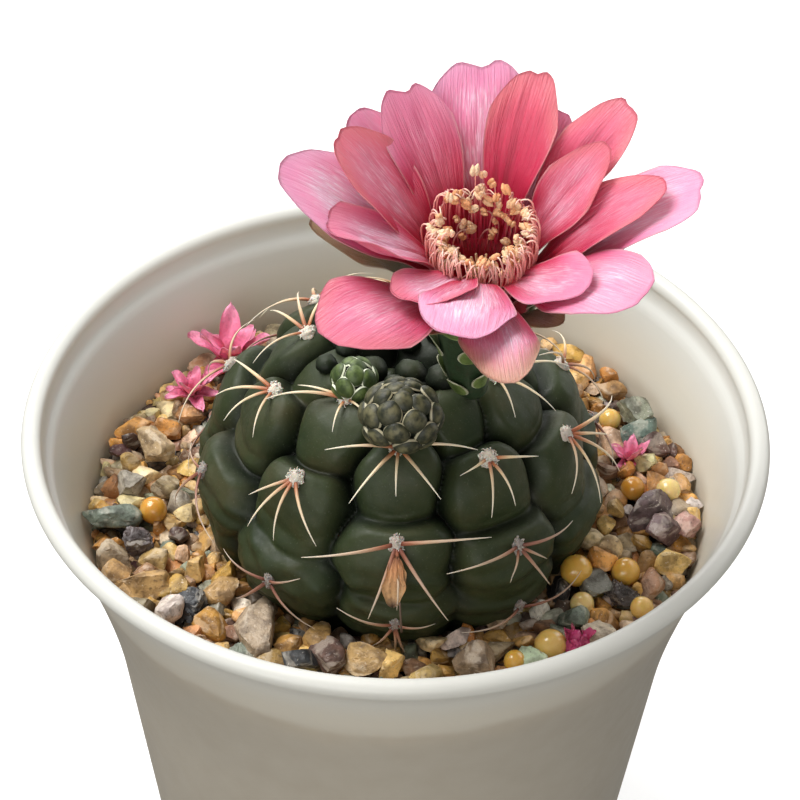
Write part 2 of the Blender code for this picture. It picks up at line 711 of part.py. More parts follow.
def make_fallen_blossom(name, azimuth, distance, radius):
    """A withered flower: a crumpled, star-shaped cup lying on the grit."""
    middle = distance * bearing(azimuth) + np.array([0, 0, GRIT_TOP + 0.1 + GAP])
    rings = []
    for share, rise in ((0.35, 0.0), (0.8, 0.5), (1.0, 1.5), (0.72, 2.0), (0.4, 1.3)):
        ring = []
        for i in range(15):
            lobe = 1 + 0.22 * share * math.cos(math.radians(120) * i)
            ring.append(middle + share * lobe * radius * bearing(24.0 * i) + np.array([0, 0, rise]))
        rings.append(ring)
    poles = (middle, middle + np.array([0, 0, 1.0]))
    skin_over(name, rings, "fallen_blossom", poles)


def main():
    clear_scene()
    make_pot()
    make_grit_bed()
    make_stem()
    frame = flower_frame()
    make_flower_tube(frame)
    make_petals(frame)
    make_stamens(frame)
    make_pistil(frame)
    for name, spec in BUDS.items():
        make_bud(name, spec)
    for name, (rib, place, spines) in SPINES.items():
        make_spine_cluster(name, rib, place, spines)
    for number, (azimuth, distance, radius) in enumerate(FEED_BEADS, start=1):
        make_lump(f"feed_bead_{number}", azimuth, distance, radius, "feed_bead", 0.0, 1.0, number)
    for number, (azimuth, distance, radius) in enumerate(STONES, start=1):
        make_lump(f"stone_{number}", azimuth, distance, radius, "stone", 0.6, 0.75, number)
    for name, (azimuth, distance, radius) in BLOSSOMS.items():
        make_fallen_blossom(name, azimuth, distance, radius)


main()
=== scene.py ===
"""The looks of a potted round cactus in flower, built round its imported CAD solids.

Lengths are in millimetres and angles in degrees until new_mesh turns them into metres. Azimuths count
from the front, -Y, towards +X.
"""

import math

import bpy
import numpy as np
from mathutils import Matrix, Vector


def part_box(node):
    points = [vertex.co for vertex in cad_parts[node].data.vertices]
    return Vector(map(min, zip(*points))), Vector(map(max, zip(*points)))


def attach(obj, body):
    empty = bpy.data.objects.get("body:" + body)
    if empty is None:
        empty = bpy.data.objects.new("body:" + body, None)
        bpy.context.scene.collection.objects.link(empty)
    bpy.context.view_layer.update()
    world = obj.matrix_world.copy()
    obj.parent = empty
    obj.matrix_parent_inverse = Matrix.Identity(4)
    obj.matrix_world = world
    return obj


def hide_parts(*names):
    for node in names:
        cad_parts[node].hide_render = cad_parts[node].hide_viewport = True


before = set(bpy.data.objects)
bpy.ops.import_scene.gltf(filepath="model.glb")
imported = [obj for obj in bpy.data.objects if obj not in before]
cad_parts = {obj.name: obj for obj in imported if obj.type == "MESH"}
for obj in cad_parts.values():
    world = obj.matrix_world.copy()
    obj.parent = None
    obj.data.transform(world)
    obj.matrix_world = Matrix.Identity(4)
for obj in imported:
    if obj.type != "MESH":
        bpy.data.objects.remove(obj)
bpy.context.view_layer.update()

MM = 0.001
GOLDEN_ANGLE = 137.508


def box_mm(node):
    low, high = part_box(node)
    return np.array(low) / MM, np.array(high) / MM


def lowest_point(node):
    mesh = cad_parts[node].data
    spots = np.empty(len(mesh.vertices) * 3, np.float32)
    mesh.vertices.foreach_get("co", spots)
    spots = spots.reshape(-1, 3)
    return spots[spots[:, 2].argmin()].astype(float) / MM


# Pot
POT_HIGH = box_mm("pot")[1]
POT_HEIGHT = POT_HIGH[2]
RIM_RADIUS = POT_HIGH[0]
LIP_SECTION = 1.2
LIP_POINTS = 24
FOOT_RADIUS = 29.7
FOOT_INNER = 25.0
FLOOR_UNDERSIDE = 2.0
FLOOR_TOP = 3.6
WALL = 1.2
WALL_TAPER = 0.1177
FLARE_START = 44.0
FLARE_RISE = 31.0
FLARE = 4.6
LEDGE = 0.3  # the small step inside the mouth, just below the lip
POT_SEGMENTS = 192
DRAIN_SLOTS = 8
DRAIN_WIDTH = 3.0
DRAIN_INNER = 11.0
DRAIN_OUTER = 20.0

# Grit
GRIT_TOP = 63.0
GRIT_FLOOR = 61.9  # how low the grains' undersides reach into the bed

# Stem
STEM_CENTRE = np.array([*lowest_point("cactus_stem")[:2], 70.5])
STEM_RADIUS = 25.0
STEM_RISE = 20.5
STEM_AXES = np.array([STEM_RADIUS, STEM_RADIUS, STEM_RISE])
STEM_SEGMENTS = 462
STEM_ROWS = 198
RIB_ANGLE = 36.0
# latitudes of the areoles down each rib
AREOLES = (
    (82, 54, 26, -5),
    (74, 46, 17, -9),
    (63, 35, 3),
    (66, 35, 5),
    (80, 48, 18, -10),
    (62, 32, 2),
    (74, 44, 14, -14),
    (62, 30, 0),
    (78, 52, 16, -12),
    (65, 38, 1),
)
TUBERCLE_DROP = 9.5  # how far below its areole a tubercle's middle is
LAST_TUBERCLE_DROP = 30.0  # and the last areole's distance from one more tubercle, half buried
CREASE_DEPTH = 3.6
CREASE_REACH = 0.33
FOLD_SHARE = 0.72  # what is left of the height in the fold between two tubercles of one rib
FOLD_REACH = 0.19
CREASE_BLEND = 0.013  # how softly one tubercle's slope turns into the next one's
SHIELD = 0.12  # how much broader a tubercle is at its shoulder than at its chin
TUBERCLE_HALF = 0.25  # half a tubercle, in radians
WEIGHT_ACROSS = 1.22  # these two draw the tubercles of a rib into a column
WEIGHT_ALONG = 0.84
SHOULDER_RISE = 0.11
BULGE = 1.1
RECEDE = 1.05  # how far a tubercle's lower end lies back from its shoulder
UNDERCUT = 0.9  # how far the stem draws in where it meets the grit
NAVEL_DEPTH = 4.6
NAVEL_WIDTH = 15.0
# The young round tubercles crowd the hollow at the crown, in the golden-angle spiral in which they grew.
CROWN_KNOBS = 21
CROWN_START = 247.5  # azimuth of the youngest
CROWN_TURN = 137.5  # from each one to the next
CROWN_SPREAD = 5.3  # degrees from the axis, times the square root of the count
CROWN_KNOB_RADIUS = 1.3
CROWN_KNOB_EXTRA = 0.6  # every other one has swollen by this much more

# Flower
FLOWER_FOOT = lowest_point("flower_tube")
FLOWER_TILT = 12.0
TUBE_LENGTH = 18.7
TUBE_BEND = 1.2
# height and radius up the tube
TUBE_SECTIONS = (
    (0.0, 0.3), (0.3, 1.5), (1.0, 1.9), (3.0, 2.35), (8.0, 2.7), (12.0, 3.3), (15.0, 4.2), (17.3, 5.6),
    (18.4, 6.3),
)
PETAL_START = 19.0
PETAL_THICKNESS = 0.34
LAYER_RADIUS = 3.6
LAYER_STEP = 0.8
LAYER_ANGLE = 28.0
LAYER_ANGLE_STEP = 3.0
PETAL_FOOT = 2.6
PETAL_WIDEST = 0.74
PETAL_BEND = 1.2

# Azimuth, layer, angle from the flower's axis at the tip, length and width of each petal, and then how it
# grew: cup (its edges turn in), curl (its tip turns in), crest (it arches near its foot), twist, end (how far
# back its corners are) and power (low for a pointed end), notch, pale (painted sheen along its middle), lilac
# (rather than salmon), aged (its tip has withered) and pleats (place across, depth).
PETALS = (
    ((352, 0, 60, 22.5, 10.2), dict(cup=-0.08, curl=-1.6, crest=1.8, end=0.30, pale=1.1, lilac=1.0,
                                    pleats=((-0.3, 0.12),))),
    ((6, 2, 72, 23.5, 8.8), dict(cup=-0.20, curl=-1.6, crest=1.4, end=0.40, power=2.0, pale=0.8, lilac=0.5,
                                 aged=0.6, pleats=((0.2, 0.15),))),
    ((41, 0, 60, 18.6, 8.6), dict(cup=0.10, curl=0.4, crest=1.3, twist=0.08, end=0.26, pale=0.6, lilac=0.8,
                                  pleats=((0.1, 0.15), (0.5, 0.2)))),
    ((50, 1, 62, 23.2, 11.2), dict(cup=-0.04, curl=-1.2, crest=0.5, end=0.20, notch=0.02, pale=0.9, lilac=0.8,
                                   pleats=((0.3, 0.12), (-0.2, 0.1)))),
    ((91, 1, 55, 22.0, 9.0), dict(cup=0.08, curl=0.3, end=0.32, power=2.4, pale=0.2, lilac=0.25,
                                  pleats=((-0.05, 0.25), (0.35, 0.15), (-0.4, 0.12)))),
    ((90, 2, 62, 24.4, 10.0), dict(cup=0.04, end=0.16, power=3.0, notch=0.02, pale=1.2, lilac=1.0,
                                   pleats=((0.0, 0.2), (0.4, 0.1), (-0.4, 0.12)))),
    ((116, 0, 50, 19.0, 7.2), dict(cup=0.10, curl=0.9, twist=0.08, end=0.30, pale=0.45, lilac=0.2,
                                   pleats=((0.1, 0.2), (-0.35, 0.15)))),
    ((127, 1, 57, 23.0, 8.4), dict(cup=0.04, curl=0.1, end=0.28, power=2.3, notch=0.02, pale=0.05, lilac=0.25,
                                   pleats=((0.15, 0.3), (-0.3, 0.12)))),
    ((150, 2, 60, 17.0, 7.6), dict(curl=0.3, end=0.26, pale=0.7, lilac=0.7)),
    ((161, 0, 55, 22.2, 8.0), dict(cup=0.05, curl=-0.5, end=0.25, notch=0.035, pale=0.0, lilac=0.0,
                                   pleats=((0.05, 0.3), (0.45, 0.1)))),
    ((181, 1, 60, 22.0, 12.4), dict(cup=-0.03, curl=-0.3, end=0.22, notch=0.05, pale=0.7, lilac=1.0,
                                    pleats=((-0.1, 0.12),))),
    ((214, 0, 55, 21.4, 9.0), dict(cup=0.03, curl=0.3, end=0.22, notch=0.05, notch_at=-0.15, pale=0.15,
                                   lilac=0.75, pleats=((-0.2, 0.25), (0.3, 0.1)))),
    ((231, 1, 60, 20.2, 9.4), dict(curl=0.2, end=0.25, pale=0.75, lilac=0.8, pleats=((0.1, 0.12),))),
    ((248, 0, 55, 21.5, 9.8), dict(cup=0.05, curl=0.3, end=0.25, notch=0.03, pale=0.4, lilac=0.15,
                                   pleats=((-0.15, 0.35), (0.25, 0.15)))),
    ((267, 1, 64, 24.3, 12.2), dict(cup=-0.05, curl=0.2, end=0.24, pale=1.15, lilac=1.0,
                                    pleats=((0.15, 0.15), (-0.35, 0.1)))),
    ((285, 0, 66, 19.5, 8.6), dict(cup=0.14, curl=0.6, crest=1.0, end=0.12, twist=0.10, pale=1.0, lilac=0.6,
                                   pleats=((0.0, 0.5), (0.5, 0.2)))),
    ((319, 2, 80, 23.6, 12.0), dict(cup=-0.03, curl=-0.5, crest=0.3, end=0.24, pale=0.3, lilac=0.45,
                                    pleats=((0.12, 0.25), (-0.25, 0.12), (-0.5, 0.1)))),
    ((331, 0, 56, 17.5, 9.2), dict(cup=0.10, curl=-0.6, crest=2.0, end=0.22, twist=0.12, notch=0.06, pale=0.8,
                                   lilac=0.5, pleats=((0.2, 0.35), (-0.3, 0.25)))),
)
OUTER_TEPALS = (
    (271, 3, 72, 16.0, 7.6),
    (331, 3, 72, 10.0, 6.6),
    (37, 3, 66, 10.0, 6.6),
    (70, 3, 66, 13.0, 6.4),
    (165, 3, 66, 15.0, 6.6),
    (222, 3, 68, 15.0, 6.6),
)
TEPAL_LOOK = dict(cup=0.10, curl=0.3, end=0.38, power=2.0, pale=0.4, lilac=0.5)

# Spines: rib, place on the rib, then bearing and length of each spine; bearings count from straight down
SPINE_CLEARANCE = 0.9
SPINE_CLIMB = 0.6
SPINE_BEND = 1.1
SPINE_WIDTH = 0.52
SPINE_THICKNESS = 0.36
SPINE_SIDES = 10
WOOL_FIBRES = 72
SPINES = {
    "spines_front_lower": (0, 2, ((-81, 10.4), (99, 10.3), (-19, 8.7), (35, 10.1), (4, 7.0))),
    "spines_front_upper": (0, 1, ((-86, 7.8), (91, 8.4), (-39, 8.2), (37, 7.2), (-4, 5.2))),
    "spines_right_upper": (1, 1, ((66, 5.6), (-82, 3.6), (-27, 6.4), (6, 5.6))),
    "spines_right_lower": (1, 2, ((87, 7.1), (-98, 9.7), (48, 3.8), (-33, 3.4), (23, 6.5))),
    "spines_right_base": (1, 3, ((-102, 8.4), (101, 8.2))),
    "spines_side_right_crown": (2, 0, ((-49, 5.8), (47, 10.3), (-5, 7.8), (110, 7.0))),
    "spines_side_right": (2, 1, ((45, 7.1), (70, 11.4), (19, 8.9), (-27, 8.4), (-60, 7.2))),
    "spines_far_right": (3, 1, ((-150, 8.8), (75, 8.2), (17, 8.2), (-20, 7.0))),
    "spines_back_right": (4, 1, ((-80, 8.0), (80, 8.5), (-30, 8.0), (30, 8.2))),
    "spines_back": (5, 1, ((-85, 8.5), (85, 8.0), (-35, 8.0), (28, 8.4))),
    "spines_back_left": (6, 1, ((-88, 8.2), (82, 8.8), (-28, 7.6), (36, 8.0))),
    "spines_far_left": (7, 1, ((-90, 8.0), (40, 9.0), (-30, 8.0))),
    "spines_far_left_crown": (7, 0, ((46, 6.9), (-34, 8.5), (-62, 9.4), (-95, 7.0))),
    "spines_side_left": (8, 2, ((-93, 4.0), (75, 9.6), (-18, 7.7))),
    "spines_side_left_upper": (8, 1, ((-70, 8.4), (-36, 7.9), (-5, 6.4), (49, 6.0))),
    "spines_left_upper": (9, 1, ((-45, 5.4), (-22, 7.4), (5, 6.9), (47, 7.9))),
    "spines_left_base": (9, 2, ((-103, 6.1), (-40, 6.7), (127, 5.2), (68, 7.0))),
}
# clusters with no CAD node of their own
MORE_SPINES = {
    "spines_front_base": (0, 3, ((-119, 6.8), (101, 4.0), (-37, 3.8), (3, 4.1), (17, 4.8))),
    "spines_left_crown": (9, 0, ((-62, 9.1), (-76, 5.5), (15, 4.0), (78, 3.2))),
    "spines_far_right_base": (3, 2, ((-70, 6.0), (60, 6.5), (0, 5.0))),
    "spines_far_right_crown": (3, 0, ((-60, 6.0), (55, 6.5), (0, 5.5))),
    "spines_back_right_crown": (4, 1, ((-60, 6.0), (60, 6.0), (0, 5.0))),
    "spines_back_right_base": (4, 2, ((-80, 7.0), (75, 7.5), (-15, 6.0), (25, 5.5))),
    "spines_back_crown": (5, 0, ((-70, 6.5), (65, 6.5), (-10, 6.0))),
    "spines_back_base": (5, 2, ((-75, 6.0), (80, 6.5), (5, 5.5))),
    "spines_back_left_crown": (6, 0, ((-75, 5.0), (70, 5.5), (0, 4.5))),
    "spines_back_left_base": (6, 2, ((-85, 7.0), (80, 7.0), (-25, 6.0), (20, 5.8))),
    "spines_far_left_base": (7, 2, ((-70, 6.0), (72, 6.5), (0, 5.5))),
}

# Loose pieces: azimuth, distance from the pot's axis, radius
FEED_BEADS = ((65, 30.8, 1.75), (36, 31.6, 1.9), (51, 29.0, 1.45), (-82, 29.8, 1.7))
# beads with no CAD node of their own, which lie deeper
MORE_BEADS = (
    (58, 25.9, 1.95), (57, 35.2, 1.4), (92, 34.0, 1.55), (93, 29.6, 1.5), (27, 31.6, 1.3), (118, 31.0, 1.4),
)
BEAD_LIFT = 0.35
DEEP_BEAD_LIFT = 0.9
BLOSSOMS = ("fallen_blossom_back", "fallen_blossom_left", "fallen_blossom_right")
FALLEN_PETAL = (40.3, 33.6)

# ---------------------------------------------------------------- vectors and meshes


def unit(vector):
    vector = np.asarray(vector, float)
    return vector / np.linalg.norm(vector, axis=-1, keepdims=True)


def bearing(azimuth):
    angle = math.radians(azimuth)
    return np.array([math.sin(angle), -math.cos(angle), 0.0])


def smooth(low, high, value):
    share = np.clip((np.asarray(value, float) - low) / (high - low), 0.0, 1.0)
    return share * share * (3 - 2 * share)


def waves(spots, size, seed):
    """A smooth, uneven number from about -1 to 1 at each spot, with bumps of about that size."""
    ease = np.random.default_rng(seed)
    total = np.zeros(spots.shape[:-1])
    for _ in range(7):
        direction = unit(ease.normal(size=3)) * ease.uniform(0.6, 1.5) * 2 * math.pi / size
        total += np.sin(spots @ direction + ease.uniform(0, 2 * math.pi))
    return total / 3.5


def grid_faces(rows, columns, round_columns):
    """Triangles over a grid of points, row by row."""
    gaps = columns if round_columns else columns - 1
    r, c = np.meshgrid(np.arange(rows - 1), np.arange(gaps), indexing="ij")
    a = (r * columns + c).ravel()
    b = (r * columns + (c + 1) % columns).ravel()
    return np.concatenate([np.stack([a, b, b + columns], 1), np.stack([a, b + columns, a + columns], 1)])


def icosphere(level):
    ratio = (1 + math.sqrt(5)) / 2
    points = [(-1, ratio, 0), (1, ratio, 0), (-1, -ratio, 0), (1, -ratio, 0), (0, -1, ratio), (0, 1, ratio),
              (0, -1, -ratio), (0, 1, -ratio), (ratio, 0, -1), (ratio, 0, 1), (-ratio, 0, -1), (-ratio, 0, 1)]
    faces = [(0, 11, 5), (0, 5, 1), (0, 1, 7), (0, 7, 10), (0, 10, 11), (1, 5, 9), (5, 11, 4), (11, 10, 2),
             (10, 7, 6), (7, 1, 8), (3, 9, 4), (3, 4, 2), (3, 2, 6), (3, 6, 8), (3, 8, 9), (4, 9, 5),
             (2, 4, 11), (6, 2, 10), (8, 6, 7), (9, 8, 1)]
    points = [unit(p) for p in points]
    for _ in range(level):
        middles, finer = {}, []
        for a, b, c in faces:
            corners = []
            for i, j in ((a, b), (b, c), (c, a)):
                key = (min(i, j), max(i, j))
                if key not in middles:
                    middles[key] = len(points)
                    points.append(unit(points[i] + points[j]))
                corners.append(middles[key])
            ab, bc, ca = corners
            finer += [(a, ab, ca), (b, bc, ab), (c, ca, bc), (ab, bc, ca)]
        faces = finer
    return np.array(points), np.array(faces)


SPHERES = {level: icosphere(level) for level in (1, 2, 3, 4)}


class Heap:
    """Closed shells that together make one piece, with a number or colour at each point."""

    def __init__(self):
        self.points, self.faces, self.values, self.count = [], [], {}, 0

    def add(self, points, faces, **values):
        points = np.asarray(points, float).reshape(-1, 3)
        corners = points[faces]
        if np.einsum("ij,ij->i", corners[:, 0], np.cross(corners[:, 1], corners[:, 2])).sum() < 0:
            faces = faces[:, ::-1]
        self.points.append(points)
        self.faces.append(faces + self.count)
        self.count += len(points)
        for key, value in values.items():
            value = np.asarray(value, float)
            width = (2,) if key == "uv" else (4,) if key.endswith("colour") else ()
            self.values.setdefault(key, []).append(np.broadcast_to(value, (len(points), *width)))

    def mesh(self, name, sharp=None):
        values = {key: np.concatenate(value) for key, value in self.values.items()}
        return new_mesh(name, np.concatenate(self.points), np.concatenate(self.faces), sharp, **values)

    def piece(self, name, slot, material, *nodes, sharp=None):
        """A piece that rides on the pot's body and stands for the CAD nodes named."""
        piece = new_object(name, self.mesh(name, sharp))
        piece.data.materials.append(material)
        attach(piece, "root")
        if nodes:
            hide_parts(*nodes)
        return piece


def new_object(name, data):
    made = bpy.data.objects.new(name, data)
    bpy.context.scene.collection.objects.link(made)
    return made


def new_mesh(name, points, faces, sharp=None, **values):
    mesh = bpy.data.meshes.new(name)
    mesh.vertices.add(len(points))
    mesh.vertices.foreach_set("co", (np.asarray(points) * MM).astype(np.float32).ravel())
    loops = np.ascontiguousarray(faces, np.int32).ravel()
    mesh.loops.add(len(loops))
    mesh.loops.foreach_set("vertex_index", loops)
    mesh.polygons.add(len(faces))
    mesh.polygons.foreach_set("loop_start", np.arange(0, len(loops), 3, dtype=np.int32))
    mesh.update(calc_edges=True)
    for key, value in values.items():
        if key == "uv":
            layer = mesh.uv_layers.new(name="UVMap")
            layer.data.foreach_set("uv", value[loops].astype(np.float32).ravel())
        elif key.endswith("colour"):
            layer = mesh.color_attributes.new(name=key, type="FLOAT_COLOR", domain="POINT")
            layer.data.foreach_set("color", value.astype(np.float32).ravel())
        else:
            layer = mesh.attributes.new(key, "FLOAT", "POINT")
            layer.data.foreach_set("value", value.astype(np.float32))
    mesh.shade_smooth()
    if sharp is not None:
        mesh.set_sharp_from_angle(angle=math.radians(sharp))
    return mesh


def capped(rings, first, last):
    """A closed surface over rings of points, fanned in to one point at each end."""
    rows, sides = rings.shape[:2]
    count = rows * sides
    around = np.arange(sides)
    after = np.roll(around, -1)
    caps = [np.stack([np.full(sides, count), after, around], 1),
            np.stack([np.full(sides, count + 1), count - sides + around, count - sides + after], 1)]
    faces = np.concatenate([grid_faces(rows, sides, True), *caps])
    return np.concatenate([rings.reshape(-1, 3), [first, last]]), faces


def relax(path, rounds):
    """Eases the corners of a path, whose ends stay where they are."""
    for _ in range(rounds):
        path[1:-1] = 0.25 * path[:-2] + 0.5 * path[1:-1] + 0.25 * path[2:]
    return path


def tube(path, radii, sides, flatten, out):
    """A closed tube along a path. flatten is its thickness as a share of its width, along out."""
    path = np.asarray(path, float)
    turns = np.arange(sides) * 2 * math.pi / sides
    rings = []
    for spot, direction, radius in zip(path, unit(np.gradient(path, axis=0)), radii):
        beside = unit(np.cross(out, direction))
        above = np.cross(direction, beside)
        ring = np.outer(np.cos(turns), beside) + flatten * np.outer(np.sin(turns), above)
        rings.append(spot + radius * ring)
    along = np.concatenate([np.repeat(np.linspace(0, 1, len(rings)), sides), [0, 1]])
    return *capped(np.array(rings), path[0], path[-1]), along


def sheet(under, over):
    """A thin closed shell between two grids of points, whose edges meet."""
    rows, columns = over.shape[:2]
    flat = grid_faces(rows, columns, False)
    shift = rows * columns
    index = np.arange(shift).reshape(rows, columns)
    rim = np.concatenate([index[0], index[1:, -1], index[-1, -2::-1], index[-2:0:-1, 0]])
    after = np.roll(rim, -1)
    sides = [np.stack([rim, after, after + shift], 1), np.stack([rim, after + shift, rim + shift], 1)]
    points = np.concatenate([under.reshape(-1, 3), over.reshape(-1, 3)])
    return points, np.concatenate([flat[:, ::-1], flat + shift, np.concatenate(sides)[:, ::-1]])


def twice(values):
    """The numbers of a grid for both faces of its sheet."""
    return np.concatenate([values.ravel(), values.ravel()])


# ---------------------------------------------------------------- materials


class Field:
    """A number or colour that a shader works out at each point. Numbers can be added and multiplied."""

    def __init__(self, look, socket):
        self.look, self.socket = look, socket

    def maths(self, operation, other=0.0):
        return self.look.field("Math", {0: self, 1: other}, operation=operation)

    def __add__(self, other):
        return self.maths("ADD", other)

    def __sub__(self, other):
        return self.maths("SUBTRACT", other)

    def __mul__(self, other):
        return self.maths("MULTIPLY", other)

    def between(self, low, high, to_low=0.0, to_high=1.0):
        """Eases from to_low to to_high as this number goes from low to high."""
        inputs = {"Value": self, "From Min": low, "From Max": high, "To Min": to_low, "To Max": to_high}
        return self.look.field("MapRange", inputs, interpolation_type="SMOOTHSTEP")


class Look:
    """A material in the making, and the colour that each tint is laid over.

    scatter is the subsurface radius of red, green and blue, and their scale in millimetres.
    """

    def __init__(self, name, scatter=None, **sockets):
        self.made = bpy.data.materials.new(name)
        self.made.use_nodes = True
        self.tree = self.made.node_tree
        self.shader = self.tree.nodes["Principled BSDF"]
        self.colour = self.relief = None
        if scatter:
            sockets.update({"Subsurface Radius": scatter[:3], "Subsurface Scale": scatter[3] * MM})
        for key, value in sockets.items():
            self.shader.inputs[key.replace("_", " ")].default_value = value

    def node(self, kind, inputs, **settings):
        node = self.tree.nodes.new("ShaderNode" + kind)
        for key, value in settings.items():
            setattr(node, key, value)
        for key, value in inputs.items():
            self.feed(value, node.inputs[key])
        return node

    def feed(self, value, socket):
        if isinstance(value, Field):
            self.tree.links.new(value.socket, socket)
        else:
            socket.default_value = value

    def field(self, kind, inputs, output=0, **settings):
        return Field(self, self.node(kind, inputs, **settings).outputs[output])

    def number(self, name):
        return self.field("Attribute", {}, "Fac", attribute_name=name)

    def place(self, coordinates, axis):
        return self.field("SeparateXYZ", {"Vector": self.field("TexCoord", {}, coordinates)}, axis)

    def noise(self, scale, detail=3.0, stretch=(1, 1, 1), w=None, coordinates="Object", roughness=0.55):
        """Noise with a grain of about 1/scale millimetres, or 1/scale of a UV map. w makes pieces differ."""
        size = 1000.0 if coordinates == "Object" else 1.0
        vector = self.field("TexCoord", {}, coordinates)
        spot = self.field("Mapping", {"Vector": vector, "Scale": tuple(size * scale * s for s in stretch)})
        inputs = {"Vector": spot, "Scale": 1.0, "Detail": detail, "Roughness": roughness}
        if w is not None:
            inputs["W"] = w
        return self.field("TexNoise", inputs, "Fac", noise_dimensions="3D" if w is None else "4D")

    def ramp(self, factor, *stops):
        node = self.node("ValToRGB", {"Fac": factor})
        elements = node.color_ramp.elements
        while len(elements) < len(stops):
            elements.new(0.5)
        for element, (place, colour) in zip(elements, stops):
            element.position = place
            element.color = (*colour, 1.0)
        return Field(self, node.outputs[0])

    def mix(self, factor, a, b, blend="MIX"):
        a, b = (colour if isinstance(colour, Field) else (*colour, 1.0) for colour in (a, b))
        return self.field("Mix", {0: factor, 6: a, 7: b}, 2, data_type="RGBA", blend_type=blend)

    def tint(self, factor, colour, blend="MIX"):
        self.colour = self.mix(factor, self.colour, colour, blend)

    def bump(self, height, depth, strength=0.6):
        """Relief that many millimetres deep."""
        self.relief = self.field("Bump", {"Height": height, "Distance": depth * MM, "Strength": strength})
        self.feed(self.relief, self.shader.inputs["Normal"])

    def finish(self, roughness=None):
        self.feed(self.colour, self.shader.inputs["Base Color"])
        if roughness is not None:
            self.feed(roughness, self.shader.inputs["Roughness"])
        return self.made

    def let_through(self, share, colour):
        """Lets that share of the light through, in that colour."""
        through = self.field("BsdfTranslucent", {"Color": colour, "Normal": self.relief})
        both = self.field("MixShader", {0: share, 1: Field(self, self.shader.outputs[0]), 2: through})
        self.feed(both, self.tree.nodes["Material Output"].inputs["Surface"])


def pot_material():
    """Thin white plastic that lets some light through, faintly mottled, dusty just above the grit; painted
    light makes the wall warmer from the rim down, and painted shade makes it darker below the grit line.
    """
    look = Look("pot_plastic", Specular_IOR_Level=0.5)
    height = look.place("Object", "Z")
    mottle = look.noise(0.03, 4.0)
    uneven = height + look.noise(0.05) * 0.006
    look.colour = look.mix(mottle * 0.25, (0.77, 0.78, 0.745), (0.71, 0.715, 0.67))
    # painted light: the wall turns warm beige from the rim down, for light coming through the thin wall
    look.tint(height.between(0.0745, 0.067), (0.77, 0.735, 0.64))
    # painted shade: darker below a wavy line at the grit's height, where the grit keeps light from coming
    # through
    look.tint(uneven.between(0.0685, 0.0665), look.mix(1.0, look.colour, (0.86, 0.83, 0.80), "MULTIPLY"))
    look.tint(height.between(0.0672, 0.0635) * look.noise(0.25, 4.0) * 0.45, (0.47, 0.40, 0.30))
    look.bump(look.noise(0.9, 5.0, (0.15, 0.15, 1.0)) + mottle * 2.0, 0.05, 0.5)
    look.let_through(0.22, (0.80, 0.72, 0.58, 1.0))
    return look.finish(look.noise(0.4, 5.0).between(0.3, 0.75, 0.30, 0.46))


def bed_material():
    look = Look("grit_bed", Roughness=0.95)
    where = look.field("TexCoord", {}, "Object")
    crumbs = look.field("TexVoronoi", {"Vector": where, "Scale": 900.0}, "Distance")
    look.colour = look.ramp(look.noise(0.7), (0.3, (0.035, 0.024, 0.015)), (0.5, (0.09, 0.06, 0.035)),
                            (0.7, (0.19, 0.13, 0.075)))
    # painted shade: near-black in the sunk gaps between the crumbs
    look.tint(crumbs.between(0.2, 0.8), (0.012, 0.008, 0.005))
    look.bump(crumbs, -0.6, 1.0)
    return look.finish()


def stone_material():
    """Each stone's own colour, mottled, speckled and faintly banded."""
    look = Look("grit_stone", Specular_IOR_Level=0.5)
    own = look.field("Attribute", {}, "Color", attribute_name="stone_colour")
    seed = look.number("seed")
    cloud = look.noise(0.55, 4.0, w=seed)
    speck = look.noise(3.2, 2.0, w=seed)
    band = look.noise(0.35, 3.0, (1.0, 0.4, 3.4), seed)
    look.colour = own
    look.tint(cloud.between(0.38, 0.66), look.mix(0.72, own, (0.10, 0.065, 0.045), "MULTIPLY"))
    look.tint(band.between(0.52, 0.62) * 0.5, look.mix(0.45, own, (0.95, 0.86, 0.72)))
    look.tint(speck.between(0.60, 0.70) * 0.55, (0.06, 0.04, 0.03))
    look.tint(speck.between(0.36, 0.28) * 0.45, (0.92, 0.85, 0.74))
    look.bump(cloud * 1.4 + speck * 0.5, 0.30, 0.8)
    return look.finish(cloud.between(0.3, 0.7, 0.34, 0.66))


def skin_material():
    """Matt, waxy, dark green skin: pale bloom, partly painted sheen, on the shoulders, and painted shade
    that makes it almost black in the creases and the crown's hollow.
    """
    look = Look("cactus_skin", (0.5, 1.0, 0.4, 0.8), Specular_IOR_Level=0.24, Subsurface_Weight=0.05)
    cloud = look.noise(0.16, 4.0)
    pores = look.noise(4.5, 2.0)
    scuff = look.noise(0.8, 5.0)
    look.colour = look.ramp(cloud, (0.30, (0.018, 0.029, 0.011)), (0.52, (0.028, 0.037, 0.013)),
                            (0.72, (0.048, 0.045, 0.018)))
    # pale bloom on the tubercles' shoulders, partly a painted sheen where they face the light
    look.tint(look.number("shoulder") * scuff.between(0.3, 0.7, 0.45, 1.0) * 0.42, (0.088, 0.101, 0.060))
    # painted shade: almost black in the creases, along the folds' bottom lines and in the crown's hollow
    look.tint(look.number("fold").between(0.05, 0.75, 0.0, 0.95), (0.004, 0.007, 0.0035))
    look.tint(pores.between(0.64, 0.72) * 0.22, (0.16, 0.18, 0.13))
    look.bump(pores * 0.12 + (scuff + cloud * 3.0), 0.14, 0.5)
    return look.finish(scuff.between(0.3, 0.7, 0.44, 0.60))


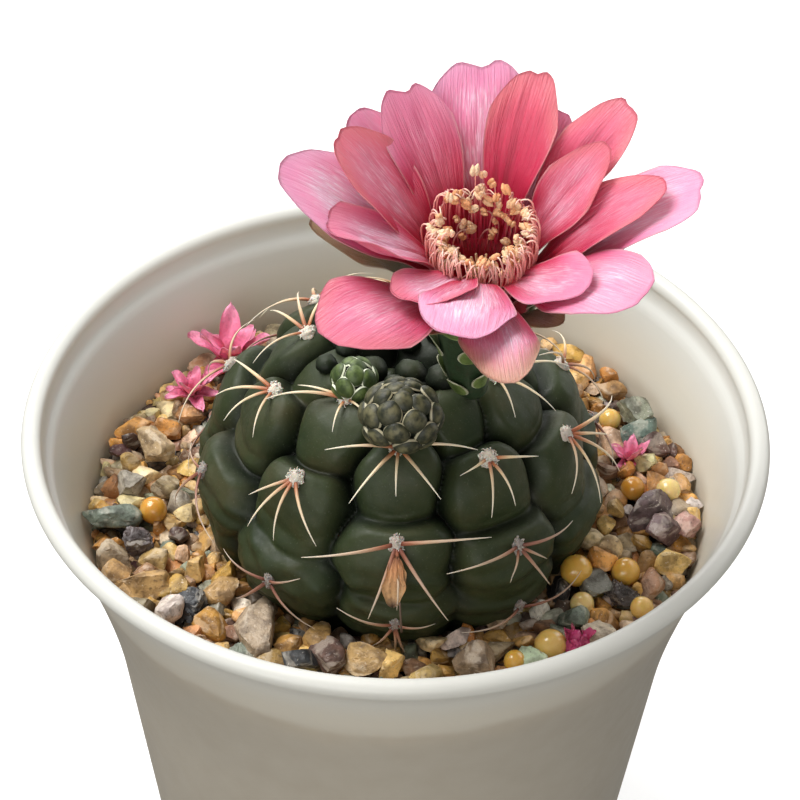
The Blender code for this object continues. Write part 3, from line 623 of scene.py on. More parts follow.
def petal_material(name, foot, low, salmon, lilac, pale, tip, edge, shine):
    """Satin, finely wrinkled along its length, deep at the foot; the pale number sets a painted sheen down
    its middle, with painted highlight streaks in it.
    """
    look = Look(name, (1.0, 0.45, 0.5, 0.9), Specular_IOR_Level=0.62, Subsurface_Weight=0.25)
    along = look.place("UV", "Y")
    out = (look.place("UV", "X") - 0.5).maths("ABSOLUTE") * 2.0
    seed, paleness, coolness = look.number("seed"), look.number("pale"), look.number("lilac")
    veins = look.noise(1.0, 4.0, (26.0, 2.2, 1.0), seed, "UV", 0.6)
    fine = look.noise(1.0, 3.0, (60.0, 9.0, 1.0), seed, "UV", 0.6)
    blotch = look.noise(1.0, 3.0, (3.0, 2.5, 1.0), seed, "UV")
    uneven = along + (veins - 0.5) * 0.22
    outer = (along + out * 0.18).between(0.80, 1.12)
    lengthways = along.between(0.25, 0.55) * along.between(0.98, 0.72)
    # painted sheen: a pale band down the petal's middle, as strong as its pale number
    painted_sheen = out.between(0.95, 0.1) * (lengthways * paleness) * blotch.between(0.3, 0.6, 0.35, 1.15)
    look.colour = look.ramp(uneven, (0.20, foot), (0.50, low), (1.0, low))
    look.tint((uneven + paleness * 0.12).between(0.47, 0.95), look.mix(coolness, salmon, lilac))
    look.tint(outer * coolness.between(1.0, 0.2, 0.05, 0.85), tip)
    look.tint(outer * coolness.between(0.45, 1.0, 0.0, 0.55), pale)
    # the painted sheen in the pale colour, then painted highlight streaks in the shine colour inside it
    look.tint(painted_sheen, pale)
    look.tint(painted_sheen.maths("MINIMUM", 1.0) * fine.between(0.47, 0.62), shine)
    look.tint(veins.between(0.50, 0.72) * 0.17, low)
    look.tint(fine.between(0.55, 0.75) * along.between(0.38, 0.75, 0.0, 0.30), pale)
    look.tint(out.between(0.93, 1.0) * 0.6, edge)
    look.tint(look.number("aged") * uneven.between(0.70, 1.02), (0.40, 0.34, 0.15))
    look.bump(veins * 1.2 + fine * 0.55, 0.26, 0.8)
    look.let_through(0.08, look.mix(1.0, look.colour, (1.0, 0.75, 0.80), "MULTIPLY"))
    return look.finish(veins.between(0.3, 0.7, 0.26, 0.42))


def graded_material(name, value, stops, roughness=0.5, grain=(3.0, 0.15), subsurface=0.0):
    """A colour that changes with a number on the mesh, mottled, with a grain of that fineness and depth."""
    look = Look(name, (1.0, 0.6, 0.4, 0.6), Roughness=roughness, Subsurface_Weight=subsurface)
    texture = look.noise(grain[0])
    look.colour = look.ramp(look.number(value) + (texture - 0.5) * 0.12, *stops)
    look.tint(texture.between(0.45, 0.7) * 0.35, (0.25, 0.2, 0.16), "MULTIPLY")
    look.bump(texture, grain[1])
    return look.finish()


def spine_material():
    """Reddish at the base, straw above or pinkish grey below, cream at the tip, with fine grooves."""
    look = Look("spines", (1.0, 0.6, 0.3, 0.3), Specular_IOR_Level=0.45, Subsurface_Weight=0.1,
                Roughness=0.42)
    streak = look.noise(1.0, 3.0, (9.0, 3.0, 1.0), look.number("seed"), "UV")
    place = look.number("along") + (streak - 0.5) * 0.16
    straw = look.ramp(place, (0.0, (0.18, 0.035, 0.015)), (0.12, (0.42, 0.14, 0.05)),
                      (0.32, (0.72, 0.54, 0.32)), (0.65, (0.84, 0.73, 0.53)), (1.0, (0.90, 0.83, 0.69)))
    grey = look.ramp(place, (0.0, (0.12, 0.03, 0.02)), (0.22, (0.30, 0.13, 0.09)), (0.6, (0.42, 0.29, 0.22)),
                     (1.0, (0.66, 0.56, 0.46)))
    look.colour = look.mix(look.number("weathered"), straw, grey)
    look.tint(streak.between(0.55, 0.7) * 0.4, (0.30, 0.16, 0.09))
    look.bump(streak, 0.10)
    return look.finish()


def wool_material():
    look = Look("areole_wool", Roughness=0.9, Subsurface_Weight=0.2, Subsurface_Scale=0.2 * MM,
                Specular_IOR_Level=0.2)
    tone = look.number("tone")
    fresh = look.ramp(tone, (0.0, (0.50, 0.42, 0.32)), (1.0, (0.92, 0.89, 0.82)))
    old = look.ramp(tone, (0.0, (0.16, 0.13, 0.12)), (1.0, (0.52, 0.47, 0.44)))
    look.colour = look.mix(look.number("aged"), fresh, old)
    look.tint(look.noise(3.0).between(0.5, 0.7) * 0.3, (0.2, 0.16, 0.13))
    look.bump(look.noise(9.0), 0.08)
    return look.finish()


def bead_material():
    """A glossy resin coat over a cloudy amber ball."""
    look = Look("feed_bead", (1.0, 0.5, 0.12, 1.2), Roughness=0.22, Subsurface_Weight=0.4, Coat_Weight=0.6,
                Coat_Roughness=0.08)
    cloud = look.noise(0.5, 4.0)
    fine = look.noise(5.0)
    level = look.number("tone") + (cloud - 0.5) * 0.5
    look.colour = look.ramp(level, (0.0, (0.60, 0.27, 0.035)), (0.45, (0.74, 0.44, 0.08)),
                            (1.0, (0.84, 0.64, 0.26)))
    look.tint(fine.between(0.58, 0.7) * 0.2, (0.35, 0.16, 0.03))
    look.bump(cloud + fine * 0.3, 0.06, 0.5)
    return look.finish()


def bud_material(name, body, shade, margin, margin_from):
    """Scales with a thin pale edge and mottled, with painted shade towards their feet and round their edges,
    a painted dark line of shade at the very edge, and painted near-black shade where they hide.
    """
    look = Look(name, Specular_IOR_Level=0.45, Roughness=0.5)
    side = look.place("UV", "X") - 0.5
    up = look.place("UV", "Y")
    over = up - 0.5
    edge = (side * side + over * over).maths("SQRT") * 2.0
    cloud = look.noise(0.9, 4.0, w=look.number("seed"))
    look.colour = look.mix(cloud.between(0.35, 0.65), body, shade)
    # painted shade: darker towards each scale's foot, under the scale above, and round its edge
    look.tint(up.between(0.75, 0.05), shade)
    look.tint(edge.between(0.55, 0.88, 0.0, 0.8), shade)
    look.tint(edge.between(margin_from, margin_from + 0.04) * up.between(0.1, 0.5, 0.25, 1.0), margin)
    # painted shade: a dark line at the very edge, for the crevice between scales
    look.tint(edge.between(0.975, 0.995), (0.008, 0.012, 0.005))
    # painted shade: almost black on the scales' undersides and on the ball beneath them
    look.tint(look.number("hidden"), (0.006, 0.010, 0.004))
    look.bump(cloud + look.noise(4.0) * 0.4, 0.12)
    return look.finish()


def floor_material():
    look = Look("floor_paper", Roughness=0.9, Specular_IOR_Level=0.1, Emission_Color=(1, 1, 1, 1),
                Emission_Strength=0.62)
    look.colour = look.mix(look.noise(0.02) * 0.1, (0.55, 0.55, 0.55), (0.5, 0.5, 0.5))
    return look.finish()


# In PINKS and OLIVES, pale and shine colour the painted sheen and its painted highlight streaks; pale also
# tints lilac petals' ends.
PINKS = dict(foot=(0.40, 0.003, 0.020), low=(0.56, 0.016, 0.075), salmon=(0.76, 0.130, 0.205),
             lilac=(0.84, 0.20, 0.40), pale=(0.87, 0.46, 0.63), shine=(0.97, 0.76, 0.87),
             tip=(0.74, 0.185, 0.215), edge=(0.70, 0.34, 0.34))
OLIVES = dict(foot=(0.12, 0.14, 0.04), low=(0.20, 0.17, 0.06), salmon=(0.36, 0.22, 0.12),
              lilac=(0.42, 0.27, 0.15), pale=(0.50, 0.30, 0.22), shine=(0.62, 0.45, 0.36),
              tip=(0.34, 0.25, 0.11), edge=(0.85, 0.78, 0.60))
# name, the number on the mesh that it follows, its colours, roughness, grain and subsurface weight
GRADED = {
    "tube": ("tube_skin", "level",
             ((0.0, (0.022, 0.045, 0.018)), (1.0, (0.35, 0.01, 0.02))), 0.5, (2.0, 0.1)),
    "scale": ("tube_scale", "edge",
              ((0.0, (0.09, 0.14, 0.03)), (0.75, (0.16, 0.22, 0.06)), (0.95, (0.60, 0.60, 0.42))),
              0.5, (2.5, 0.1)),
    "throat": ("throat", "level",
               ((0.0, (0.38, 0.005, 0.02)), (1.0, (0.5, 0.01, 0.03))), 0.45, (2.0, 0.1)),
    "filament": ("filament", "along",
                 ((0.0, (0.60, 0.04, 0.10)), (0.2, (0.84, 0.26, 0.28)), (0.5, (0.92, 0.50, 0.43)),
                  (1.0, (0.94, 0.72, 0.57))), 0.4, (2.0, 0.05), 0.2),
    "anther": ("anther", "tone",
               ((0.0, (0.80, 0.38, 0.17)), (0.5, (0.86, 0.52, 0.28)), (1.0, (0.90, 0.70, 0.47))),
               0.6, (5.0, 0.25), 0.15),
    "pistil": ("pistil", "along",
               ((0.0, (0.60, 0.05, 0.08)), (1.0, (0.85, 0.62, 0.38))), 0.5, (3.0, 0.1), 0.15),
    "blossom": ("fallen_blossom", "along",
                ((0.0, (0.40, 0.10, 0.09)), (0.3, (0.75, 0.14, 0.27)), (1.0, (0.85, 0.30, 0.45))),
                0.5, (1.5, 0.3), 0.25),
    "fallen_petal": ("fallen_petal", "along",
                     ((0.0, (0.45, 0.02, 0.12)), (1.0, (0.80, 0.12, 0.30))), 0.35, (1.2, 0.3), 0.2),
    "dry": ("dry_sepal", "along",
            ((0.0, (0.16, 0.05, 0.02)), (0.3, (0.52, 0.24, 0.10)), (0.8, (0.66, 0.40, 0.20)),
             (1.0, (0.10, 0.06, 0.04))), 0.6, (2.0, 0.25), 0.1),
}
# the scales' own colour, their dark colour for mottling and painted shade, their pale edge and where that
# edge begins
LARGE_BUD = ((0.145, 0.134, 0.066), (0.012, 0.016, 0.006), (0.50, 0.46, 0.31), 0.89)
SMALL_BUD = ((0.130, 0.185, 0.050), (0.026, 0.048, 0.009), (0.80, 0.84, 0.66), 0.85)


def make_materials():
    materials = {key: graded_material(*row) for key, row in GRADED.items()}
    materials.update(
        stone=stone_material(),
        skin=skin_material(),
        petal=petal_material("petal", **PINKS),
        tepal=petal_material("outer_tepal", **OLIVES),
        spines=spine_material(),
        wool=wool_material(),
        bead=bead_material(),
        bud_large=bud_material("bud_large", *LARGE_BUD),
        bud_small=bud_material("bud_small", *SMALL_BUD),
    )
    return materials


# ---------------------------------------------------------------- pot


def wall_radius(height):
    flare = np.clip((np.asarray(height, float) - FLARE_START) / FLARE_RISE, 0, None)
    return FOOT_RADIUS + WALL_TAPER * height + FLARE * flare**1.75


def pot_outline():
    """Radius and height along the pot's section, from under its floor round the lip to its floor's top."""
    lip_r, lip_z = RIM_RADIUS - LIP_SECTION, POT_HEIGHT - LIP_SECTION
    inner_foot = float(wall_radius(FLOOR_TOP)) - WALL
    rising = (0.9, 2.0, 12.0, 24.0, 34.0, *np.arange(FLARE_START, 74.0, 2.0), 74.2)
    falling = (74.35, *np.arange(73.0, 43.0, -2.0), 34.0, 24.0, 12.0, FLOOR_TOP + 2.0)
    outline = [(r, FLOOR_UNDERSIDE) for r in (0.02, 8.0, 16.0, FOOT_INNER - 0.7)]
    outline += [(FOOT_INNER - 0.2, FLOOR_UNDERSIDE - 0.5), (FOOT_INNER, 0.25), (FOOT_INNER + 0.25, 0.0)]
    outline += [(FOOT_RADIUS - 0.9, 0.0), (FOOT_RADIUS - 0.35, 0.15), (wall_radius(0.5) - 0.1, 0.5)]
    outline += [(float(wall_radius(z)), z) for z in rising]
    for turn in np.linspace(-62, 205, LIP_POINTS):
        angle = math.radians(turn)
        outline.append((lip_r + LIP_SECTION * math.cos(angle), lip_z + LIP_SECTION * math.sin(angle)))
    outline += [(float(wall_radius(z)) - WALL + LEDGE, z) for z in (75.2, 74.6)]
    outline += [(float(wall_radius(z)) - WALL, z) for z in falling]
    outline += [(inner_foot - 0.7, FLOOR_TOP + 0.6), (inner_foot - 2.0, FLOOR_TOP)]
    outline += [(r, FLOOR_TOP) for r in (16.0, 8.0, 0.02)]
    return outline


def make_pot():
    outline = pot_outline()
    turns = np.arange(POT_SEGMENTS) * 2 * math.pi / POT_SEGMENTS
    circle = np.stack([np.sin(turns), -np.cos(turns), np.zeros(POT_SEGMENTS)], 1)
    rings = np.array([r * circle + np.array([0, 0, z]) for r, z in outline])
    heap = Heap()
    heap.add(*capped(rings, (0, 0, outline[0][1]), (0, 0, outline[-1][1])))
    cut_drains(heap.piece("pot_shell", "pot_plastic", pot_material(), "pot", sharp=50))


def cut_drains(pot):
    """Cuts a ring of round-ended slots through the floor."""
    half = DRAIN_WIDTH / 2
    turns = np.radians(np.linspace(90, 270, 9))
    rounded = [(DRAIN_INNER + half + half * math.cos(a), half * math.sin(a)) for a in turns]
    rounded += [(DRAIN_OUTER - half - half * math.cos(a), -half * math.sin(a)) for a in turns]
    low, high = np.array([0, 0, -1.0]), np.array([0, 0, FLOOR_TOP + 1.0])
    cutter = Heap()
    for slot in range(DRAIN_SLOTS):
        turn = math.radians((slot + 0.5) * 360.0 / DRAIN_SLOTS)
        along = np.array([math.cos(turn), math.sin(turn), 0])
        side = np.array([-math.sin(turn), math.cos(turn), 0])
        ring = np.array([x * along + y * side for x, y in rounded])
        middle = ring.mean(0)
        cutter.add(*capped(np.array([ring + low, ring + high]), middle + low, middle + high))
    tool = new_object("drain_cutter", cutter.mesh("drain_cutter"))
    cut = pot.modifiers.new("drain_slots", "BOOLEAN")
    cut.solver = "EXACT"
    cut.object = tool
    finished = bpy.data.meshes.new_from_object(pot.evaluated_get(bpy.context.evaluated_depsgraph_get()))
    pot.modifiers.clear()
    pot.data = finished
    bpy.data.objects.remove(tool)


# ---------------------------------------------------------------- stem


def on_sphere(azimuth, latitude):
    a, b = np.radians(azimuth), np.radians(latitude)
    return np.stack([np.cos(b) * np.sin(a), -np.cos(b) * np.cos(a), np.sin(b)], axis=-1)


def tubercles():
    """Each tubercle's middle, the direction east of it, and its rib: one below every areole."""
    places, ribs = [], []
    for rib, latitudes in enumerate(AREOLES):
        for latitude in (*latitudes, latitudes[-1] - LAST_TUBERCLE_DROP):
            places.append((rib * RIB_ANGLE, latitude - TUBERCLE_DROP))
            ribs.append(rib)
    azimuth, latitude = np.array(places).T
    return on_sphere(azimuth, latitude), on_sphere(azimuth + 90, 0 * latitude), np.array(ribs)


MIDDLES, EASTS, RIBS = tubercles()
NORTHS = np.cross(MIDDLES, EASTS)


def relief(directions):
    """Height of the skin over the ellipsoid; how much painted shade it gets, deep in a crease, along a fold's
    bottom and in the crown's hollow; and how near a tubercle's shoulder, for its bloom and painted sheen.
    """
    spots = unit(directions + 0.020 * np.stack([waves(directions, 0.5, seed) for seed in (1, 2, 3)], axis=-1))
    latitude = np.degrees(np.arcsin(np.clip(directions[:, 2], -1, 1)))
    skirt = smooth(6, -14, latitude)  # the narrow part just above the grit
    flow = smooth(25, 8, latitude)  # lower down, the tubercles of a rib run into each other

    # How far each spot is from each tubercle's middle, and which is nearest
    across, up = spots @ EASTS.T, spots @ NORTHS.T
    spread = np.clip(1 + SHIELD * up / TUBERCLE_HALF, 0.6, 1.5)
    ahead = 1 - spots @ MIDDLES.T
    away = np.sqrt((WEIGHT_ACROSS * across / spread) ** 2 + (WEIGHT_ALONG * up) ** 2 + ahead**2)
    rows = np.arange(len(spots))
    nearest = away.argmin(1)
    least = away[rows, nearest][:, None]

    # Creases between ribs, and shallower folds between the tubercles of one rib
    same_rib = RIBS[None] == RIBS[nearest][:, None]
    reach = np.where(same_rib, FOLD_REACH, CREASE_REACH * (1 + 0.6 * skirt[:, None]))
    share = np.clip((away - least) / (away + least) / reach, 0, 1)
    soft = (np.sqrt(share**2 + 0.01) - 0.1) / 0.905
    rise = np.where(same_rib, 1 - (1 - soft) ** 2, (1 - (1 - share) ** 2.2) ** 0.68)
    floor = np.where(same_rib, FOLD_SHARE + (0.93 - FOLD_SHARE) * flow[:, None], 0.0)
    shares = floor + (1 - floor) * rise
    shares[rows, nearest] = 1.0
    pillow = 1 - (1 - shares.prod(1)) * np.clip(0.86 + 0.34 * waves(directions, 0.45, 11), 0.45, 1.15)
    depth = CREASE_DEPTH * np.where(latitude < 55, 1.0, 1.0 - 0.35 * (latitude - 55) / 35)
    depth *= 1 - 0.22 * flow - 0.33 * skirt

    # A thin line along the bottom of each fold, sunk into the skin and darkened as painted shade
    line = np.exp(-((share / 0.38) ** 2)) * same_rib
    line[rows, nearest] = 0.0
    line = line.max(1) * (1 - 0.8 * flow) * (1 - skirt)

    # Each tubercle falls away from its shoulder, blended with its neighbours' fall
    blend = np.exp((least - away) / CREASE_BLEND)
    blend /= blend.sum(1)[:, None]
    offs = np.hypot(across, up - SHOULDER_RISE) / TUBERCLE_HALF
    fallen = BULGE * (1 - 0.3 * flow[:, None] - 0.4 * skirt[:, None]) * np.clip(offs, 0, 1.2) ** 2
    receding = np.clip((SHOULDER_RISE - up) / 0.42, 0, 1.3) ** 1.3
    fallen += RECEDE * (1 - 0.7 * flow[:, None]) * (1 - skirt[:, None]) * receding

    height = depth * (pillow - 1.0) - (blend * fallen).sum(1)
    height -= NAVEL_DEPTH * np.exp(-(((90 - latitude) / NAVEL_WIDTH) ** 2))
    height += 0.22 * waves(directions, 0.34, 7) + 0.05 * waves(directions, 0.11, 8)
    height += 0.30 * flow * waves(directions, 0.19, 9)
    height -= UNDERCUT * smooth(4, -20, latitude)
    height -= 0.30 * line
    # painted shade: the fold number darkens creases, fold lines and the crown's hollow under the flower, not
    # buried skin
    pit = 0.55 * smooth(64, 82, latitude)
    buried = smooth(-40, -22, latitude)
    fold = (1 - pillow * (1 - pit) + 0.34 * line) * buried
    return height * buried, fold, pillow * np.exp(-((offs[rows, nearest] / 0.55) ** 2))


def stem_normals(directions):
    return unit(directions / STEM_AXES)


def skin_points(directions):
    height, fold, shoulder = relief(directions)
    return STEM_CENTRE + directions * STEM_AXES + height[:, None] * stem_normals(directions), fold, shoulder


def skin_point(azimuth, latitude):
    return skin_points(on_sphere(azimuth, latitude)[None])[0][0]


def height_over_skin(point):
    away = (np.asarray(point) - STEM_CENTRE) / STEM_AXES
    direction = unit(away)[None]
    normal = stem_normals(direction)[0]
    return float((point - skin_points(direction)[0][0]) @ normal), normal


BATCH = 20000  # directions worked out at a time, to save memory


def make_stem(material):
    """The skin, from the crown down to the grit, and the buried taproot."""
    turns = np.arange(STEM_SEGMENTS) * 360.0 / STEM_SEGMENTS
    latitudes = np.concatenate([np.linspace(89.6, -21, STEM_ROWS), [-25, -30, -38]])
    azimuth, latitude = np.meshgrid(turns, latitudes)
    directions = on_sphere(azimuth.ravel(), latitude.ravel())
    batches = [skin_points(directions[start:start + BATCH]) for start in range(0, len(directions), BATCH)]
    points, fold, shoulder = (np.concatenate(column) for column in zip(*batches))
    root = [STEM_CENTRE * [1, 1, 0] + np.array([0, 0, z]) + r * on_sphere(turns, np.zeros(STEM_SEGMENTS))
            for z, r in ((48.0, 9.0), (36.0, 4.0), (26.0, 1.6))]
    rings = np.concatenate([points, *root]).reshape(-1, STEM_SEGMENTS, 3)
    rest = np.zeros(3 * STEM_SEGMENTS + 2)
    heap = Heap()
    heap.add(*capped(rings, skin_point(0.0, 90.0), [STEM_CENTRE[0], STEM_CENTRE[1], 22.0]),
             fold=np.concatenate([fold, rest]), shoulder=np.concatenate([shoulder, rest]))
    ball, faces = SPHERES[2]
    for number in range(CROWN_KNOBS):
        azimuth = CROWN_START + number * CROWN_TURN
        latitude = 90 - CROWN_SPREAD * math.sqrt(number + 0.6)
        radius = CROWN_KNOB_RADIUS + CROWN_KNOB_EXTRA * (number % 2)
        outward = stem_normals(on_sphere(azimuth, latitude)[None])[0]
        lumpy = ball * (1 + 0.06 * waves(ball, 0.9, number + 30))[:, None] * [1.0, 1.0, 0.88]
        # The crown's knobs get painted shade, darkest on their sides, and a little bloom with painted sheen
        # on top.
        heap.add(skin_point(azimuth, latitude) + 0.35 * radius * outward + radius * lumpy, faces,
                 fold=0.85 - 0.55 * (ball @ outward), shoulder=0.15 * smooth(0.5, 1.0, ball @ outward))
    heap.piece("stem_skin", "cactus_skin", material, "cactus_stem")


# ---------------------------------------------------------------- spines


def areole(rib, place):
    """Where an areole sits, the direction out of the skin there, and the directions down and to the side."""
    azimuth, latitude = rib * RIB_ANGLE, AREOLES[rib][place]
    normal = stem_normals(on_sphere(azimuth, latitude)[None])[0]
    east = np.array([math.cos(math.radians(azimuth)), math.sin(math.radians(azimuth)), 0.0])
    down = unit(np.cross(east, normal))
    if down[2] > 0:
        down = -down
    return skin_point(azimuth, latitude), normal, down, east


def spine_path(seat, normal, down, east, angle, length, sway, steps=16):
    """A spine's middle line: it leaves its pad at a slant and bends back to follow the skin."""
    turn = math.radians(angle)
    heading = math.cos(turn) * down + math.sin(turn) * east
    beside = np.cross(normal, heading)
    at = seat + 0.35 * normal + 0.35 * heading
    path = [at]
    for step in range(1, steps + 1):
        share = step / steps
        forward = unit(heading + (SPINE_CLIMB - SPINE_BEND * share) * normal + sway * (share - 0.3) * beside)
        at = at + forward * (length + 0.6) / steps
        over, outward = height_over_skin(at)
        at = at + max(0.0, SPINE_CLEARANCE * min(1.0, 3 * share) - over) * outward
        at[2] = max(at[2], GRIT_TOP + 1.0)
        path.append(at)
    return relax(np.array(path), 4)


FIBRE_SIDE = np.array([0.31, 0.17, 0.93])  # any direction that no fibre follows


def add_wool(wool, ease, seat, normal, down, east, size, aged):
    """A woolly pad: a lumpy mound covered with short, thick, curled fibres."""
    points, faces = SPHERES[2]
    lumps = 1 + 0.22 * waves(points, 0.8, int(ease.integers(1000)))[:, None]
    broad = size * (0.92 - 0.20 * aged)
    long = size * (0.80 + 0.35 * aged)
    mound = points[:, :1] * east * broad * 0.8 + points[:, 1:2] * down * long * 0.85
    mound = mound + points[:, 2:] * normal * size * 0.5
    wool.add(seat + 0.05 * normal + mound * lumps, faces, aged=aged, tone=0.3)
    shares = np.linspace(0, 1, 5)
    for _ in range(WOOL_FIBRES):
        polar, turn = math.sqrt(ease.uniform(0, 1)), ease.uniform(0, 2 * math.pi)
        across, along = polar * math.cos(turn), polar * math.sin(turn)
        dome = math.sqrt(max(0.0, 1 - 0.8 * polar**2))
        root = seat + broad * across * east * 0.85 + long * along * down * 0.9
        root = root + (0.42 * size * dome + 0.02) * normal
        sideways = (across + ease.normal() * 0.8) * east
        lean = unit(0.35 * normal + sideways + (along + ease.normal() * 0.8) * down)
        curl = unit(np.cross(lean, ease.normal(size=3)) - 0.7 * normal)
        length = size * ease.uniform(0.22, 0.46)
        bend = ease.uniform(1.4, 3.4)
        path = [root + length * (math.sin(s * bend) / bend * lean + (1 - math.cos(s * bend)) / bend * curl)
                for s in shares]
        radius = ease.uniform(0.06, 0.11)
        points, faces, _ = tube(path, radius * (1 - 0.45 * shares), 3, 1.0, FIBRE_SIDE)
        wool.add(points, faces, aged=aged, tone=ease.uniform(0.3, 1.0))


def make_spines(materials):
    ease = np.random.default_rng(21)
    wool = Heap()
    for name, (rib, place, spines) in {**SPINES, **MORE_SPINES}.items():
        seat, normal, down, east = areole(rib, place)
        weathered = float(smooth(50, 8, AREOLES[rib][place]))
        size = (1.3 + 0.2 * ease.random()) * (1 - 0.22 * weathered)
        add_wool(wool, ease, seat, normal, down, east, size, weathered)
        heap = Heap()
        for angle, length in spines:
            path = spine_path(seat, normal, down, east, angle, length, ease.uniform(-0.25, 0.25))
            shares = np.linspace(0, 1, len(path))
            radii = 0.5 * SPINE_WIDTH * min(1.0, 0.62 + 0.045 * length) * (1 - 0.86 * shares**1.25)
            points, faces, along = tube(path, radii, SPINE_SIDES, SPINE_THICKNESS / SPINE_WIDTH, normal)
            turn = np.concatenate([np.tile(np.arange(SPINE_SIDES) / SPINE_SIDES, len(path)), [0, 0]])
            greyness = np.clip(weathered + ease.uniform(-0.25, 0.25), 0, 1)
            heap.add(points, faces, along=along, weathered=greyness, seed=ease.uniform(0, 50),
                     uv=np.stack([turn, along * length / 10], 1))
        nodes = (name,) if name in SPINES else ()
        heap.piece(name.replace("spines_", "spine_cluster_"), "spines", materials["spines"], *nodes)
    wool.piece("areole_wool", "spines", materials["wool"])


# ---------------------------------------------------------------- flower

TILT = math.radians(FLOWER_TILT)
AXIS = np.array([0.0, -math.sin(TILT), math.cos(TILT)])
FORWARD = np.array([0.0, -math.cos(TILT), -math.sin(TILT)])
RIGHT = np.array([1.0, 0.0, 0.0])


def around_flower(azimuth):
    angle = np.radians(azimuth)
    return np.cos(angle)[..., None] * FORWARD + np.sin(angle)[..., None] * RIGHT


def flower_point(azimuth, radial, rise):
    azimuth, radial, rise = (np.asarray(v, float) for v in np.broadcast_arrays(azimuth, radial, rise))
    sway = TUBE_BEND * np.sin(math.pi * np.clip(rise / PETAL_START, 0, 1))
    point = FLOWER_FOOT + rise[..., None] * AXIS + radial[..., None] * around_flower(azimuth)
    return point - sway[..., None] * RIGHT


def ridge(value, middle, width):
    """1 on the line where the value is the middle one, falling smoothly to 0 on both sides."""
    return np.exp(-(((value - middle) / width) ** 2))


def petal_width(share, width):
    swell = (0.5 - 0.5 * np.cos(math.pi * np.minimum(share / PETAL_WIDEST, 1.0))) ** 1.25
    body = PETAL_FOOT + (width - PETAL_FOOT) * swell
    end = np.clip((share - PETAL_WIDEST) / (1.0 - PETAL_WIDEST), 0, 1)
    return body * (1 - 0.08 * end**2)


def petal_lift(uu, along, half, look, seed, ease):
    """How far a petal rises off its plain curve: its cup, curl, pleats, wrinkles and ruffles."""
    grown = smooth(0.15, 0.6, along)
    tip = smooth(0.6, 1.0, along) ** 1.5
    lift = look.get("cup", 0.0) * uu**2 * half * 2 * grown + look.get("curl", 0.0) * tip
    lift += look.get("twist", 0.0) * uu * half * 2 * grown + look.get("crest", 0.0) * ridge(along, 0.32, 0.20)
    for place, depth in look.get("pleats", ()):
        wander = place + 0.05 * np.sin(along * 5 + seed)
        lift -= depth * ridge(uu, wander, 0.10) * smooth(0.12, 0.4, along) * smooth(1.0, 0.72, along)
        beside = ridge(uu - wander, 0.17, 0.10)
        lift += 0.5 * depth * beside * smooth(0.15, 0.5, along) * smooth(1.0, 0.8, along)
    for _ in range(6):
        place, depth, begin = ease.uniform(-0.75, 0.75), ease.uniform(0.03, 0.10), ease.uniform(0.1, 0.5)
        ends = smooth(begin, begin + 0.15, along), smooth(begin + 0.5, begin + 0.3, along)
        lift -= depth * ridge(uu, place, 0.055) * ends[0] * ends[1]
    ruffle = np.sin(2 * math.pi * ease.uniform(1.2, 2.0) * along + ease.uniform(0, 6.3) + 1.5 * uu)
    ripple = np.sin(2 * math.pi * (3.2 * along + 0.5 * uu) + ease.uniform(0, 6.3))
    ripple *= np.sin(4.0 * uu + ease.uniform(0, 6.3))
    return lift + (0.34 * np.abs(uu) ** 2.5 * ruffle + 0.07 * ripple) * grown


def add_petal(heap, spec, look, seed, rows=48, columns=25):
    azimuth, layer, end_angle, length, width = spec
    start = LAYER_ANGLE + LAYER_ANGLE_STEP * layer

    # The curve of its middle, in short steps whose angle from the flower's axis grows
    steps = 80
    angles = np.radians(start + (end_angle - start) * ((np.arange(steps) + 0.5) / steps) ** PETAL_BEND)
    radial = np.concatenate([[0], np.cumsum(np.sin(angles))]) * length / steps
    rise = np.concatenate([[0], np.cumsum(np.cos(angles))]) * length / steps

    # Its outline: corners that lie back, a notch and a slightly ragged end
    u = np.sin(np.linspace(-1, 1, columns) * math.pi / 2 * 0.94) / math.sin(math.pi / 2 * 0.94)
    uu, vv = np.meshgrid(u, np.linspace(0, 1, rows))
    ease = np.random.default_rng(seed)
    ragged = 0.010 * np.sin(5 * uu + ease.uniform(0, 6)) + 0.003 * np.sin(17 * uu + ease.uniform(0, 6))
    corner = look.get("end", 0.3) * np.abs(uu) ** look.get("power", 2.6)
    cleft = look.get("notch", 0.0) * ridge(uu, look.get("notch_at", 0.0), 0.26)
    along = vv * (1 - smooth(0.45, 1.0, vv) * (corner + cleft + ragged))
    half = petal_width(along, width) / 2

    angle = np.radians(start + (end_angle - start) * along**PETAL_BEND)
    at_radial = LAYER_RADIUS + LAYER_STEP * layer + np.interp(along * steps, range(steps + 1), radial)
    at_rise = PETAL_START + np.interp(along * steps, range(steps + 1), rise)
    lift = petal_lift(uu, along, half, look, seed, ease)
    thick = PETAL_THICKNESS * (1 - 0.75 * np.maximum(np.abs(uu) ** 4, smooth(0.8, 1.0, vv)))
    turn = azimuth + np.degrees(uu * half / at_radial)
    surfaces = []
    for side in (-0.5, 0.5):
        moved = lift + side * thick
        r = at_radial - moved * np.cos(angle)
        z = at_rise + moved * np.sin(angle)
        surfaces.append(FLOWER_FOOT + z[..., None] * AXIS + r[..., None] * around_flower(turn))
    place = np.stack([(uu + 1) / 2, vv], -1).reshape(-1, 2)
    heap.add(*sheet(*surfaces), uv=np.concatenate([place, place]), pale=look["pale"], lilac=look["lilac"],
             aged=look.get("aged", 0.0), seed=float(seed))


def make_petals(materials):
    for number, (spec, look) in enumerate(PETALS, start=1):
        heap = Heap()
        add_petal(heap, spec, look, number)
        heap.piece(f"petal_blade_{number:02d}", "petal", materials["petal"], f"petal_{number:02d}")
    for number, spec in enumerate(OUTER_TEPALS, start=1):
        heap = Heap()
        add_petal(heap, spec, TEPAL_LOOK, 40 + number, 30, 17)
        heap.piece(f"outer_tepal_blade_{number}", "outer_tepal", materials["tepal"], f"outer_tepal_{number}")


